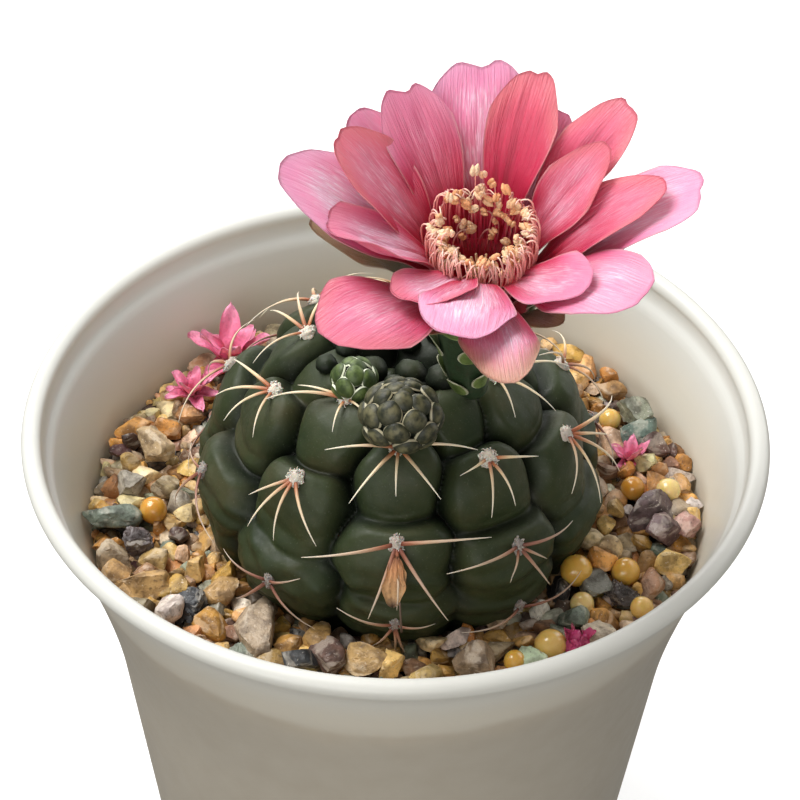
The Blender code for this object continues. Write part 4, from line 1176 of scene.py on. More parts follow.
# azimuth on the tube, height, length, width and how far it stands off
TUBE_SCALES = (
    (-38, 14.2, 4.6, 4.6, 0.25), (20, 13.6, 4.6, 4.4, 0.2), (75, 14.0, 4.4, 4.4, 0.2),
    (135, 13.8, 4.4, 4.4, 0.2), (190, 14.0, 4.4, 4.4, 0.2), (250, 13.6, 4.6, 4.6, 0.25),
    (-78, 8.2, 4.2, 2.6, 0.55), (8, 9.0, 3.4, 2.6, 0.3), (50, 7.4, 3.2, 2.4, 0.4),
    (115, 8.6, 3.4, 2.6, 0.3), (170, 7.8, 3.2, 2.4, 0.3), (225, 9.0, 3.4, 2.6, 0.3),
    (-30, 2.4, 2.8, 2.6, 0.4), (35, 3.8, 2.6, 2.2, 0.4), (100, 3.0, 2.6, 2.2, 0.4),
    (160, 3.4, 2.6, 2.2, 0.4), (215, 2.8, 2.6, 2.2, 0.4), (270, 3.6, 2.6, 2.2, 0.4),
)
TUBE_SIDES = 40
THROAT_SIDES = 48


def make_flower_tube(materials):
    """The tube, with eight faint ribs outside and a funnel inside, and the scales that grow on it."""
    rises, radii = np.array(TUBE_SECTIONS).T
    around = np.arange(TUBE_SIDES) * 360.0 / TUBE_SIDES
    azimuth, rise = np.meshgrid(around, np.linspace(0.0, TUBE_LENGTH - 0.3, 60))
    radial = np.interp(rise, rises, radii) + 0.10 * np.cos(np.radians(azimuth * 8)) * smooth(0, 4, rise)
    outside = flower_point(azimuth, radial, rise)
    depths = TUBE_LENGTH - np.array([0.1, 0.3, 2.0, 3.2])
    azimuth, rise = np.meshgrid(around, depths)
    inside = flower_point(azimuth, np.repeat([[5.9], [3.2], [2.2], [0.05]], TUBE_SIDES, 1), rise)
    inner = np.concatenate([np.zeros(outside.size // 3), np.ones(inside.size // 3), [0, 1]])
    ends = flower_point(0.0, 0.0, 0.0), flower_point(0.0, 0.0, depths[-1])
    heap = Heap()
    heap.add(*capped(np.concatenate([outside, inside]), *ends), level=inner)
    heap.piece("flower_tube_skin", "tube_skin", materials["tube"], "flower_tube")
    scales = Heap()
    uu, vv = np.meshgrid(np.linspace(-1, 1, 11), np.linspace(0, 1, 15))
    outline = np.sqrt(np.clip(1 - np.clip((vv - 0.25) / 0.75, 0, 1) ** 2.0, 0.001, 1))
    outline = outline * smooth(-0.4, 0.25, vv)
    edge = np.maximum(np.abs(uu), smooth(0.55, 1.0, vv))
    for turn, rise, length, width, off in TUBE_SCALES:
        at = rise + length * vv
        base = np.interp(at, rises, radii) + 0.12
        surfaces = []
        for side in (0.0, 0.28):
            radial = base + off * length * vv**1.6 * 0.5 + side * (1 - 0.7 * np.abs(uu) ** 3) * (1 - 0.6 * vv)
            surfaces.append(flower_point(turn + np.degrees(uu * 0.5 * width * outline / base), radial, at))
        scales.add(*sheet(*surfaces), edge=twice(edge))
    scales.piece("tube_scales", "tube_skin", materials["scale"])


def make_throat(material):
    """The crimson lining of the throat, from the tube's mouth out to the petals' feet."""
    around = np.arange(THROAT_SIDES) * 360.0 / THROAT_SIDES
    azimuth, rise = np.meshgrid(around, [-2.6, -1.5, -0.2, 0.6, 1.4, 2.6])
    radial = np.repeat([[1.6], [2.3], [2.9], [3.4], [3.9], [4.6]], THROAT_SIDES, 1)
    outer, inner = (flower_point(azimuth, radial + side, TUBE_LENGTH + rise) for side in (0.25, 0.0))
    rings = np.concatenate([outer, inner[::-1]])
    index = np.arange(THROAT_SIDES)
    after = np.roll(index, -1)
    last = (len(rings) - 1) * THROAT_SIDES
    closing = [np.stack([last + index, last + after, after], 1), np.stack([last + index, after, index], 1)]
    heap = Heap()
    heap.add(rings, np.concatenate([grid_faces(len(rings), THROAT_SIDES, True), *closing]), level=0.0)
    heap.piece("flower_throat", "petal", material)


STAMENS_OUTER = 190
STAMENS_MIDDLE = 34
STAMENS_INNER = 15
FILAMENT_POINTS = 14
BARE_SHARE = 0.58  # of the outer filaments whose anther is gone
# azimuth, radius and height of the tallest stamens, at the back
TALL_STAMENS = ((186, 5.4, 13.2), (180, 4.8, 11.0), (163, 5.2, 11.4), (146, 5.8, 10.4))


def add_anther(anthers, ease, spot, direction, size):
    """An anther: two uneven lobes side by side, split by a groove."""
    long = unit(direction + 0.7 * ease.normal(size=3))
    side = unit(np.cross(long, ease.normal(size=3)))
    third = np.cross(long, side)
    tone = ease.uniform(0, 1)
    points, faces = SPHERES[2]
    for lobe in (-1, 1):
        body = points * (1 + 0.14 * waves(points, 1.0, int(ease.integers(1000))))[:, None]
        middle = spot + lobe * size * 0.27 * side + lobe * size * 0.08 * long
        turned = 0.78 * body[:, :1] * long + 0.36 * body[:, 1:2] * side + 0.42 * body[:, 2:] * third
        anthers.add(middle + size * turned, faces, tone=np.clip(tone + 0.1 * lobe, 0, 1))


def back_share(azimuth):
    """0 at the front of the flower, 1 at its back."""
    return 0.5 - 0.5 * math.cos(math.radians(azimuth))


def resample(section, count):
    """The two columns of a short list of points, as evenly placed numbers."""
    knots = np.linspace(0, 1, len(section))
    return (np.interp(np.linspace(0, 1, count), knots, column) for column in np.array(section).T)


def grow_filament(filaments, azimuth, section, jitter, radius):
    """A filament along a section of radius and height over the tube; returns its tip and direction there."""
    back = back_share(azimuth)
    shares = np.linspace(0, 1, FILAMENT_POINTS)
    radial, rise = resample(section, FILAMENT_POINTS)
    path = relax(flower_point(azimuth + jitter * shares**1.5 * 20, radial, TUBE_LENGTH + rise), 2)
    radii = np.full(FILAMENT_POINTS, radius) * (1 - 0.25 * shares)
    points, faces, along = tube(path, radii, 6, 1.0, RIGHT * 0.3 + AXIS)
    filaments.add(points, faces, along=np.clip(along * (1 + 0.5 * back) - 0.5 * back, 0, 1))
    return path[-1], unit(path[-1] - path[-3])


def make_stamens(materials):
    ease = np.random.default_rng(31)
    filaments, anthers = Heap(), Heap()
    for number in range(STAMENS_OUTER):
        turn = number * 360.0 / STAMENS_OUTER + ease.normal() * 2.5
        back = back_share(turn)
        if back > 0.6 and ease.random() < 0.4:
            continue
        tall = ease.normal() * 0.65 + 1.0 + 0.7 * back
        reach = ease.normal() * 0.3 + 0.5 * back
        section = [(3.6, 0.2), (4.7 + reach, 3.0), (5.4 + reach, 5.4), (5.7 + reach, 7.0 + tall),
                   (5.35 + reach, 8.0 + tall), (4.8 + reach, 8.2 + tall), (4.45 + reach, 7.8 + tall)]
        tip = grow_filament(filaments, turn, section, ease.normal() * 0.7, ease.uniform(0.085, 0.12))
        if ease.random() < 1 - BARE_SHARE:
            add_anther(anthers, ease, *tip, ease.uniform(0.62, 0.86))
    for number in range(STAMENS_MIDDLE):
        turn = 40 + number * 280.0 / STAMENS_MIDDLE + ease.normal() * 5
        back = back_share(turn)
        low = ease.uniform(-2.0, 0.4) + 0.9 * back
        section = [(3.4, -0.2), (4.4, 2.4), (4.9 + 0.4 * back, 4.8 + low), (4.6 + 0.4 * back, 6.4 + low),
                   (3.9 + 0.4 * back, 6.9 + low)]
        tip = grow_filament(filaments, turn, section, ease.normal(), 0.10)
        add_anther(anthers, ease, *tip, ease.uniform(0.6, 0.84))
    for number in range(STAMENS_INNER):
        turn = 60 + number * 240.0 / STAMENS_INNER + ease.normal() * 5
        low = ease.uniform(-2.4, 0.4) + 0.6 * back_share(turn)
        section = [(3.1, -0.6), (4.0, 1.8 + low * 0.3), (4.3, 3.8 + low), (4.0, 5.0 + low), (3.4, 5.4 + low)]
        tip = grow_filament(filaments, turn, section, ease.normal(), 0.10)
        add_anther(anthers, ease, *tip, ease.uniform(0.6, 0.84))
    for turn, radial, rise in TALL_STAMENS:
        section = [(3.4, 0.2), (4.4, 4.0), (radial + 0.4, rise * 0.75), (radial + 0.1, rise),
                   (radial - 0.6, rise + 0.4)]
        spot, _ = grow_filament(filaments, turn, section, 0.3, 0.08)
        add_anther(anthers, ease, spot, AXIS, 0.8)
        if rise > 13:
            add_anther(anthers, ease, spot + 0.9 * RIGHT - 0.6 * AXIS, AXIS, 0.75)
    filaments.piece("stamen_filaments", "stamens", materials["filament"], "stamens")
    anthers.piece("stamen_anthers", "stamens", materials["anther"])


STYLE_POINTS = 12
STIGMA_LOBES = 9
STIGMA_SECTION = ((0.2, 2.5), (0.7, 3.2), (1.1, 3.8), (1.2, 4.3))


def make_pistil(material):
    """The style, low in the throat, and the lobes of its stigma."""
    ease = np.random.default_rng(33)
    heap = Heap()
    shares = np.linspace(0, 1, STYLE_POINTS)
    path = flower_point(0 * shares, 0 * shares, TUBE_LENGTH - 2.9 + 5.6 * shares)
    points, faces, along = tube(path, 0.6 + 0.1 * shares, 12, 1.0, RIGHT)
    heap.add(points, faces, along=along)
    lobes = np.linspace(0, 1, 9)
    radial, rise = resample(STIGMA_SECTION, len(lobes))
    for lobe in range(STIGMA_LOBES):
        spots = flower_point(lobe * 360.0 / STIGMA_LOBES + ease.normal() * 6, radial, TUBE_LENGTH + rise)
        points, faces, _ = tube(spots, 0.22 * (1 - 0.45 * lobes), 6, 1.0, AXIS + 0.2 * RIGHT)
        heap.add(points, faces, along=1.0)
    heap.piece("pistil_column", "pistil", material, "pistil")


# ---------------------------------------------------------------- buds


NUDGE = 1e-6 * np.array([1.0, 0.3, 0.1])  # keeps a scale right at the top from having no side


def make_bud(name, material, scales, lowest, overlap, crowding, sag, shift):
    """A ball of thick rounded scales that wind round it from its top, each lying over the next one's foot.

    lowest is how far round from the top the last scale is, in degrees; crowding makes the scales at the top
    smaller, and sag is how far each one bulges.
    """
    low, high = box_mm(name)
    centre, half = (low + high) / 2 + shift, (high - low) / 2 * 0.97
    ease = np.random.default_rng(scales)
    points, faces = SPHERES[3]
    s, t, n = points.T
    taper = 1 - 0.14 * t - 0.08 * t**2
    heap = Heap()
    # an inner ball, painted near-black as shade, seen in the gaps between the scales
    heap.add(centre + 0.83 * points * half, faces, hidden=1.0, seed=0.0, uv=np.zeros((len(points), 2)))
    spread = 1 - math.cos(math.radians(lowest))
    for number in range(scales):
        share = ((number + 0.25) / scales) ** crowding
        polar = math.acos(1 - spread * share)
        turn = math.radians(GOLDEN_ANGLE * number)
        flat = math.sin(polar)
        direction = np.array([flat * math.cos(turn), flat * math.sin(turn), math.cos(polar)])
        side = unit(np.cross([0, 0, 1], direction) + NUDGE)
        up = np.cross(direction, side)
        size = math.sqrt(2 * spread * crowding / scales * share ** (1 - 1 / crowding))
        size = overlap * size * ease.uniform(0.92, 1.08)
        across, along = s * size * 0.92 * taper, t * size
        bulge = sag * size / 0.36 * n * (1 + 0.25 * (n > 0)) + 0.05 * t - 0.45 * sag
        wrapped = unit(direction + across[:, None] * side + along[:, None] * up)
        # each scale's underside is painted near-black as shade
        heap.add(centre + wrapped * (0.93 + bulge)[:, None] * half, faces, hidden=smooth(0.12, -0.04, n),
                 seed=float(number), uv=np.stack([s + 1, t + 1], 1) / 2)
    heap.piece(name + "_scales", "bud_scales", material, name)


# ---------------------------------------------------------------- grit and loose pieces

# colour of each kind of stone and how common it is
STONE_KINDS = (
    ((0.70, 0.37, 0.085), 24), ((0.74, 0.47, 0.17), 24), ((0.52, 0.29, 0.10), 16), ((0.76, 0.56, 0.31), 14),
    ((0.38, 0.27, 0.16), 10), ((0.36, 0.33, 0.27), 6), ((0.72, 0.65, 0.53), 6), ((0.38, 0.20, 0.11), 8),
    ((0.13, 0.07, 0.055), 6), ((0.20, 0.24, 0.17), 5), ((0.035, 0.035, 0.04), 2), ((0.66, 0.30, 0.07), 7),
)
# azimuth, distance, radius, colour and how flat
LARGE_STONES = (
    (19, 30.6, 2.6, (0.30, 0.21, 0.13), 0.75), (-32, 29.6, 2.8, (0.46, 0.35, 0.24), 0.72),
    (-50, 31.0, 2.0, (0.028, 0.030, 0.036), 0.75), (111, 33.4, 2.5, (0.14, 0.20, 0.165), 0.75),
    (-72, 32.2, 1.7, (0.11, 0.085, 0.085), 0.8), (-69, 35.6, 2.0, (0.50, 0.38, 0.24), 0.7),
    (-59.5, 34.2, 2.2, (0.56, 0.34, 0.13), 0.8), (-80.5, 35.2, 2.3, (0.20, 0.24, 0.19), 0.6),
    (-49, 26.6, 1.8, (0.58, 0.36, 0.15), 0.75), (-18.5, 26.0, 1.6, (0.60, 0.36, 0.12), 0.8),
    (-14, 29.1, 2.0, (0.15, 0.085, 0.065), 0.72), (-6.3, 28.5, 1.9, (0.56, 0.36, 0.15), 0.7),
    (-31.5, 33.4, 1.9, (0.22, 0.25, 0.20), 0.5), (46, 29.6, 1.6, (0.20, 0.25, 0.19), 0.7),
    (58.5, 28.2, 1.8, (0.26, 0.26, 0.22), 0.7), (58.5, 32.2, 1.6, (0.09, 0.075, 0.07), 0.75),
    (45.5, 33.6, 1.9, (0.66, 0.56, 0.42), 0.65), (85, 31.6, 2.3, (0.13, 0.085, 0.085), 0.8),
    (79.5, 33.4, 2.0, (0.17, 0.10, 0.10), 0.8), (82.7, 36.4, 1.5, (0.55, 0.30, 0.25), 0.8),
    (117, 35.0, 2.0, (0.22, 0.23, 0.16), 0.8), (-91, 32.8, 1.7, (0.40, 0.36, 0.29), 0.7),
    (-103, 31.0, 2.1, (0.50, 0.36, 0.20), 0.75),
)
CAD_STONES = 4  # the first of them stand for the CAD's stones
PITTING = 0.11  # depth of the pits in the darkest stones, as a share of their radius
GRIT_STONES = 1650
MIXED_STONES = 1300  # the others, the smallest, fall last
GRIT_INNER = 23.0  # the stones fall between these two distances from the axis
GRIT_OUTER = 37.5
SETTLE_STEPS = 208
SLOW_STEPS = 60  # the last ones, in which the stones fall more slowly
OVERLAP = 0.93  # how near two balls may come, as a share of their radii together
TOO_DEEP = 3.4  # a stone this far under its neighbours' tops can't be seen
HALF_DEEP = 1.5
NEARBY = 1.9


def stone_shapes(level, count, seed):
    """Unit stones: spheres cut by planes, so that they have faces and edges, then worn and pitted."""
    ease = np.random.default_rng(seed)
    points, _ = SPHERES[level]
    shapes = []
    for number in range(count):
        shape = points * (1 + 0.12 * waves(points, 1.6, seed + number)[:, None])
        for _ in range(int(ease.integers(9, 16))):
            direction = unit(ease.normal(size=3))
            over = shape @ direction - ease.uniform(0.48, 0.80)
            shape = shape - np.clip(over, 0, None)[:, None] * direction * 0.97
        shape = shape * (1 + 0.03 * waves(points, 0.5, seed + 500 + number)[:, None])
        shape = shape + 0.012 * ease.normal(size=shape.shape)
        shapes.append(shape / np.linalg.norm(shape, axis=1).mean())
    return shapes


def settle(spots, radii, fixed):
    """Lets balls fall on the bed and push each other apart, between the stem and the pot's wall."""
    loose = ~fixed
    for step in range(SETTLE_STEPS):
        spots[loose, 2] -= 0.14 if step < SETTLE_STEPS - SLOW_STEPS else 0.03
        if step % 8 == 0:
            gap = np.linalg.norm(spots[:, None] - spots[None], axis=2) - radii[:, None] - radii[None]
            i, j = np.nonzero(gap < 1.0)
            i, j = i[i < j], j[i < j]
        for _ in range(2):
            apart = spots[j] - spots[i]
            distance = np.linalg.norm(apart, axis=1) + 1e-9
            over = np.clip(OVERLAP * (radii[i] + radii[j]) - distance, 0, None)
            push = apart / distance[:, None] * over[:, None] * 0.5
            np.add.at(spots, i, -push * loose[i][:, None])
            np.add.at(spots, j, push * loose[j][:, None])
            keep_clear(spots, radii, fixed)
            keep_inside(spots, radii, loose)
    return spots


def keep_clear(spots, radii, fixed):
    """Pushes loose balls sideways off the pieces that lie on top."""
    held = np.nonzero(fixed)[0]
    apart = spots[None, :, :2] - spots[held, None, :2]
    distance = np.linalg.norm(apart, axis=2) + 1e-9
    over = (radii[held, None] * 0.98 + radii[None] * 0.55) - distance
    above = spots[None, :, 2] > spots[held, None, 2] - 0.5 * radii[held, None]
    push = np.where((over > 0) & above & ~fixed[None], over, 0.0)
    spots[:, :2] += (apart / distance[..., None] * push[..., None]).sum(0)


def keep_inside(spots, radii, loose):
    """Keeps loose balls inside the pot's wall, outside the stem and above the bed."""
    flat = np.linalg.norm(spots[:, :2], axis=1) + 1e-9
    limit = wall_radius(spots[:, 2]) - WALL - radii * OVERLAP
    spots[:, :2] *= np.where(loose, np.minimum(1.0, limit / flat), 1.0)[:, None]
    away = spots - STEM_CENTRE
    grown = STEM_AXES + radii[:, None] * 0.95 - 1.6
    inside = loose & (np.linalg.norm(away / grown, axis=1) < 1) & (spots[:, 2] < STEM_CENTRE[2] + 6)
    flat_away = np.linalg.norm(away[:, :2], axis=1) + 1e-9
    wanted = grown[:, 0] * np.sqrt(np.clip(1 - (away[:, 2] / grown[:, 2]) ** 2, 0, 1))
    spots[inside, :2] = STEM_CENTRE[:2] + away[inside, :2] * (wanted / flat_away)[inside][:, None]
    spots[loose, 2] = np.maximum(spots[loose, 2], (GRIT_FLOOR + radii * 0.8)[loose])


def pull_in(points):
    """Moves a stone towards the middle until none of it is in the pot's wall."""
    reach = np.linalg.norm(points[:, :2], axis=1)
    over = reach - (wall_radius(points[:, 2]) - WALL - 0.12)
    worst = int(over.argmax())
    if over[worst] > 0:
        points[:, :2] -= points[worst, :2] / reach[worst] * over[worst]
    return points


def depths_below(spots, radii):
    """How far the top of each ball is under the highest top near it."""
    flat = np.linalg.norm(spots[:, None, :2] - spots[None, :, :2], axis=2)
    tops = spots[:, 2] + radii
    return np.where(flat < NEARBY, tops[None], -1.0).max(1) - tops


def random_turn(ease, tilt):
    """A rotation that keeps the short axis within about tilt of upright."""
    spin = Matrix.Rotation(ease.uniform(0, 2 * math.pi), 3, "Z")
    lean = Matrix.Rotation(ease.normal() * tilt, 3, Vector((ease.normal(), ease.normal(), 0)).normalized())
    return np.array(lean @ spin)


def on_grit(azimuth, distance, lift, rise=0.0):
    return distance * bearing(azimuth) + [0, 0, GRIT_TOP + lift + rise]


def pieces_on_top():
    """The middle and the radius of a ball round each piece that lies on the grit."""
    balls = [(on_grit(az, r, BEAD_LIFT, size), size) for az, r, size in FEED_BEADS]
    balls += [(on_grit(az, r, DEEP_BEAD_LIFT, size), size) for az, r, size in MORE_BEADS]
    for number, (az, r, size, _, flat) in enumerate(LARGE_STONES):
        balls.append((on_grit(az, r, 0.3 if number < CAD_STONES else 0.7, size * flat), size * 0.95))
    for name in BLOSSOMS:
        low, high = box_mm(name)
        balls.append(((low + high) / 2, (high - low)[0] * 0.28))
    return balls + [(on_grit(*FALLEN_PETAL, 2.2), 1.5)]


def make_grit(materials):
    ease = np.random.default_rng(5)
    balls = pieces_on_top()
    held = len(balls)
    sizes = np.sort(np.clip(np.exp(ease.normal(-0.20, 0.33, GRIT_STONES)), 0.45, 1.6))[::-1]
    ease.shuffle(sizes[:MIXED_STONES])
    for number, size in enumerate(sizes):
        far = math.sqrt(ease.uniform(GRIT_INNER**2, GRIT_OUTER**2))
        balls.append((on_grit(ease.uniform(0, 360), far, 1.0, 7.0 * number / GRIT_STONES), size))
    spots, radii = (np.array(column, float) for column in zip(*balls))
    spots = settle(spots, radii, np.arange(len(spots)) < held)
    depths = depths_below(spots, radii)
    shapes = {level: stone_shapes(level, 30, 70 + level) for level in (2, 3)}
    shapes[1] = stone_shapes(1, 12, 90)
    colours = np.array([colour for colour, _ in STONE_KINDS])
    shares = np.array([share for _, share in STONE_KINDS], float)
    kinds = ease.choice(len(STONE_KINDS), len(spots), p=shares / shares.sum())
    heaps = {"coarse": Heap(), "middle": Heap(), "fine": Heap()}
    for number in range(held, len(spots)):
        size, depth = radii[number], depths[number]
        if depth > TOO_DEEP:
            continue
        which = "coarse" if size > 1.05 else "middle" if size > 0.68 else "fine"
        level = 1 if which == "fine" or depth > HALF_DEEP else 2
        shape = shapes[level][int(ease.integers(len(shapes[level])))]
        stretch = np.array([ease.uniform(1.0, 1.5), ease.uniform(0.8, 1.1), ease.uniform(0.6, 0.95)])
        stretch /= np.prod(stretch) ** (1 / 3)
        placed = pull_in((shape * stretch * size * 1.1) @ random_turn(ease, 0.5).T + spots[number])
        tint = colours[kinds[number]] * ease.uniform(0.70, 1.34) * (1 + 0.07 * ease.normal(size=3))
        heaps[which].add(placed, SPHERES[level][1], stone_colour=(*np.clip(tint, 0.01, 0.95), 1.0),
                         seed=ease.uniform(0, 90))
    for which, heap in heaps.items():
        heap.piece(f"grit_{which}", "grit", materials["stone"], sharp=40)
    make_large_stones(materials["stone"], shapes[3])
    make_beads(materials["bead"])


def make_large_stones(material, shapes):
    for number, (az, r, size, colour, flat) in enumerate(LARGE_STONES):
        known = number < CAD_STONES
        shape = shapes[number] * np.array([1.25, 0.95, flat]) * size
        if max(colour) < 0.12:
            shape = shape * (1 + PITTING * waves(shape / size, 0.26, number))[:, None]
        turned = shape @ np.array(Matrix.Rotation(math.radians(az + 90 + 23 * number), 3, "Z")).T
        spot = on_grit(az, r, 0.4 if known else 0.8, -turned[:, 2].min())
        heap = Heap()
        heap.add(pull_in(turned + spot), SPHERES[3][1], stone_colour=(*colour, 1.0), seed=7.0 * number)
        nodes = (f"stone_{number + 1}",) if known else ()
        heap.piece(f"stone_on_top_{number + 1}", "stone", material, *nodes, sharp=32)


def make_beads(material):
    for number, (az, r, size) in enumerate((*FEED_BEADS, *MORE_BEADS), start=1):
        known = number <= len(FEED_BEADS)
        points, faces = SPHERES[4 if known else 3]
        shape = points * size * (1 + 0.012 * waves(points, 1.4, number)[:, None])
        spot = on_grit(az, r, BEAD_LIFT if known else DEEP_BEAD_LIFT, size)
        heap = Heap()
        heap.add(pull_in(shape + spot), faces, tone=0.1 + 0.28 * (number % 4))
        nodes = (f"feed_bead_{number}",) if known else ()
        heap.piece(f"bead_{number}", "feed_bead", material, *nodes)


# azimuth, how far each petal stands up, and its length as a share of the blossom's radius
BLOSSOM_PETALS = (
    (0, 0.3, 1.0), (38, 1.2, 1.2), (75, 0.2, 0.9), (118, 0.6, 1.1), (150, 1.8, 1.2),
    (195, 0.3, 1.1), (230, 1.4, 1.1), (262, 0.4, 1.05), (300, 0.9, 1.1), (332, 1.6, 1.0),
)
BLOSSOM_SPREAD = 1.35  # how much further the petals reach than the CAD's solid


def make_blossom(name, seed, material):
    """A withered flower: narrow pointed petals, curled and crumpled, round a dry middle."""
    ease = np.random.default_rng(seed)
    low, high = box_mm(name)
    radius = (high - low)[:2].max() / 2 * BLOSSOM_SPREAD
    middle = np.array([*((low + high) / 2)[:2], low[2] + 0.35 * radius])
    uu, vv = np.meshgrid(np.linspace(-1, 1, 9), np.linspace(0, 1, 17))
    half = radius * 0.25 * np.sqrt(np.clip(1 - (2 * vv**0.75 - 1) ** 2, 0.002, 1)) * (1 - 0.3 * vv)
    heap = Heap()
    for turn, lift, reach in BLOSSOM_PETALS:
        turn = turn + 47 * seed + ease.normal() * 6
        length = radius * reach
        out = bearing(turn)
        side = np.cross([0, 0, 1], out)
        curl = ease.uniform(-0.8, 0.3)
        angle = np.arctan(lift)
        flat = length * vv * math.cos(angle)
        rise = length * (math.sin(angle) * vv + curl * 0.35 * vv**2.5) + 0.5 * np.abs(uu) * half
        rise = rise + 0.05 * radius * np.sin(9 * vv + 3 * uu + turn)
        grid = middle + flat[..., None] * out + (uu * half)[..., None] * side
        grid[..., 2] = np.maximum(grid[..., 2] + rise, low[2] - 0.4)
        heap.add(*sheet(grid - [0, 0, 0.06], grid + [0, 0, 0.06]), along=twice(vv))
    points, faces = SPHERES[2]
    heap.add(middle + points * radius * 0.2 * [1, 1, 0.8] + [0, 0, 0.2], faces, along=0.0)
    heap.piece(name + "_petals", "fallen_blossom", material, name)


def make_fallen_petal(material):
    """A crumpled petal that lies on the grit."""
    ease = np.random.default_rng(77)
    uu, vv = np.meshgrid(np.linspace(-1, 1, 25), np.linspace(-1, 1, 25))
    place = np.stack([uu, vv, 0 * uu], -1)
    crumple = [waves(place, 0.9, 300 + k) for k in range(3)]
    shape = np.sqrt(np.clip(1.1 - 0.45 * uu**2 - 0.45 * vv**2, 0.1, 1))
    grid = np.stack([2.1 * uu * shape + 0.5 * crumple[0], 1.7 * vv * shape + 0.5 * crumple[1],
                     0.9 * crumple[2] + 0.9 * vv], -1) + on_grit(*FALLEN_PETAL, 3.4)
    heap = Heap()
    heap.add(*sheet(grid - [0, 0, 0.05], grid + [0, 0, 0.05]), along=0.1 + 0.3 * ease.random())
    heap.piece("fallen_petal", "fallen_blossom", material)


def make_dry_sepal(material):
    """A dry sepal stuck below the third areole of the front rib, with a thread hanging from it."""
    seat, normal, down, east = areole(0, 2)
    uu, vv = np.meshgrid(np.linspace(-1, 1, 13), np.linspace(0, 1, 21))
    outline = np.sqrt(np.clip(1 - (2 * np.clip(vv, 0, 1) ** 1.3 - 1) ** 2, 0.004, 1))
    outline = outline * (1 + 0.12 * np.sin(13 * vv))
    curl = 0.9 + 0.5 * np.sin(5 * vv + uu) + 0.4 * uu**2 + 0.12 * np.sin(12 * uu)
    heap = Heap()
    for lean, length, width in ((-0.04, 6.0, 2.5), (0.20, 3.6, 1.0)):
        heading = unit(down + lean * east)
        beside = np.cross(normal, heading)
        grid = seat + (1.2 + length * vv)[..., None] * heading
        grid = grid + (uu * 0.5 * width * outline)[..., None] * beside + curl[..., None] * normal
        heap.add(*sheet(grid - 0.05 * normal, grid + 0.05 * normal), along=twice(vv))
    path = [seat + t * down + (1.2 + 0.2 * math.sin(t)) * normal + 0.08 * t * east
            for t in np.linspace(6.5, 10.0, 8)]
    points, faces, _ = tube(path, np.full(8, 0.12), 6, 1.0, normal)
    heap.add(points, faces, along=1.6)
    heap.piece("dry_sepal", "spines", material)


# ---------------------------------------------------------------- stage

FLOOR_TURNS = 96
# radius and height of the floor's section in metres: flat, then curving up into a wall all round
FLOOR_SECTION = (
    (0.0001, 0), (0.2, 0), (0.5, 0), (0.9, 0), (1.0, 0.01),
    (1.12, 0.06), (1.2, 0.16), (1.24, 0.32), (1.25, 0.6), (1.25, 1.4),
)
# name, place, size, power and colour of each light, in metres and watts
LIGHTS = (
    ("key_above", (-0.26, 0.12, 0.58), (0.40, 0.34), 4.6, (1.0, 0.998, 0.985)),
    ("window_back", (-0.10, 0.62, 0.30), (0.6, 0.35), 1.9, (1, 1, 1)),
    ("fill_right", (0.45, 0.35, 0.30), (0.5, 0.5), 1.5, (1, 1, 1)),
    ("fill_front", (-0.15, -0.60, 0.30), (0.6, 0.4), 2.3, (1.0, 0.99, 0.97)),
)
LIGHTS_AIM = (0, 0, 0.08)
SKY_COLOUR = (1.0, 0.985, 0.95, 1)
SKY_STRENGTH = 0.26
CAMERA_PITCH = 40.72  # looking down by this much
CAMERA_ROLL = 1.37
CAMERA_DISTANCE = 0.2998
CAMERA_AIM = (0.0004, 0.0, 0.08025)
CAMERA_LENS = 112.5
CAMERA_SENSOR = 36.0


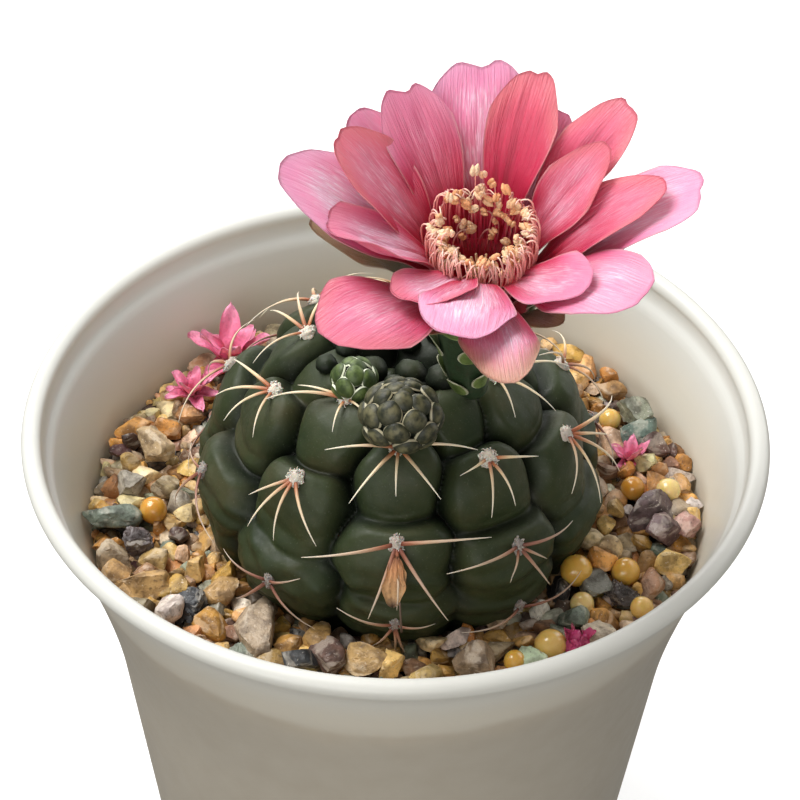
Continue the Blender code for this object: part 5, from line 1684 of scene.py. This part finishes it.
def make_stage():
    mesh = bpy.data.meshes.new("floor")
    angles = [2 * math.pi * i / FLOOR_TURNS for i in range(FLOOR_TURNS)]
    points = [(r * math.cos(a), r * math.sin(a), z) for r, z in FLOOR_SECTION for a in angles]
    mesh.from_pydata(points, [], grid_faces(len(FLOOR_SECTION), FLOOR_TURNS, True).tolist())
    mesh.shade_smooth()
    mesh.materials.append(floor_material())
    floor = new_object("floor", mesh)
    floor.visible_diffuse = False
    floor.visible_glossy = False
    floor.visible_transmission = False
    floor.visible_shadow = False


def make_lights():
    for name, place, size, power, colour in LIGHTS:
        data = bpy.data.lights.new(name, "AREA")
        data.shape = "RECTANGLE"
        data.size, data.size_y = size
        data.energy = power
        data.color = colour
        lamp = new_object(name, data)
        lamp.location = place
        lamp.rotation_euler = (Vector(LIGHTS_AIM) - Vector(place)).to_track_quat("-Z", "Y").to_euler()
    world = bpy.data.worlds.new("studio")
    world.use_nodes = True
    background = world.node_tree.nodes["Background"]
    background.inputs["Color"].default_value = SKY_COLOUR
    background.inputs["Strength"].default_value = SKY_STRENGTH
    bpy.context.scene.world = world
    bpy.context.scene.view_settings.view_transform = "Standard"


def make_camera():
    pitch, roll = math.radians(CAMERA_PITCH), math.radians(CAMERA_ROLL)
    data = bpy.data.cameras.new("camera")
    data.lens = CAMERA_LENS
    data.sensor_width = CAMERA_SENSOR
    data.clip_start = 0.01
    camera = new_object("camera", data)
    camera.location = Vector(CAMERA_AIM) + CAMERA_DISTANCE * Vector((0, -math.cos(pitch), math.sin(pitch)))
    turned = Matrix.Rotation(math.pi / 2 - pitch, 4, "X") @ Matrix.Rotation(roll, 4, "Z")
    camera.rotation_euler = turned.to_euler()
    bpy.context.scene.camera = camera


make_camera()
make_lights()
make_stage()
materials = make_materials()
make_pot()
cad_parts["grit_bed"].data.materials.clear()
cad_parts["grit_bed"].data.materials.append(bed_material())
make_stem(materials["skin"])
make_spines(materials)
make_petals(materials)
make_flower_tube(materials)
make_throat(materials["throat"])
make_stamens(materials)
make_pistil(materials["pistil"])
make_bud("bud_large", materials["bud_large"], scales=28, lowest=150, overlap=1.24, crowding=1.25, sag=0.15,
         shift=np.array([0.0, -0.5, -0.7]))
make_bud("bud_small", materials["bud_small"], scales=14, lowest=140, overlap=1.30, crowding=1.15, sag=0.10,
         shift=np.zeros(3))
make_grit(materials)
for number, name in enumerate(BLOSSOMS):
    make_blossom(name, 3 + number, materials["blossom"])
make_fallen_petal(materials["fallen_petal"])
make_dry_sepal(materials["dry"])
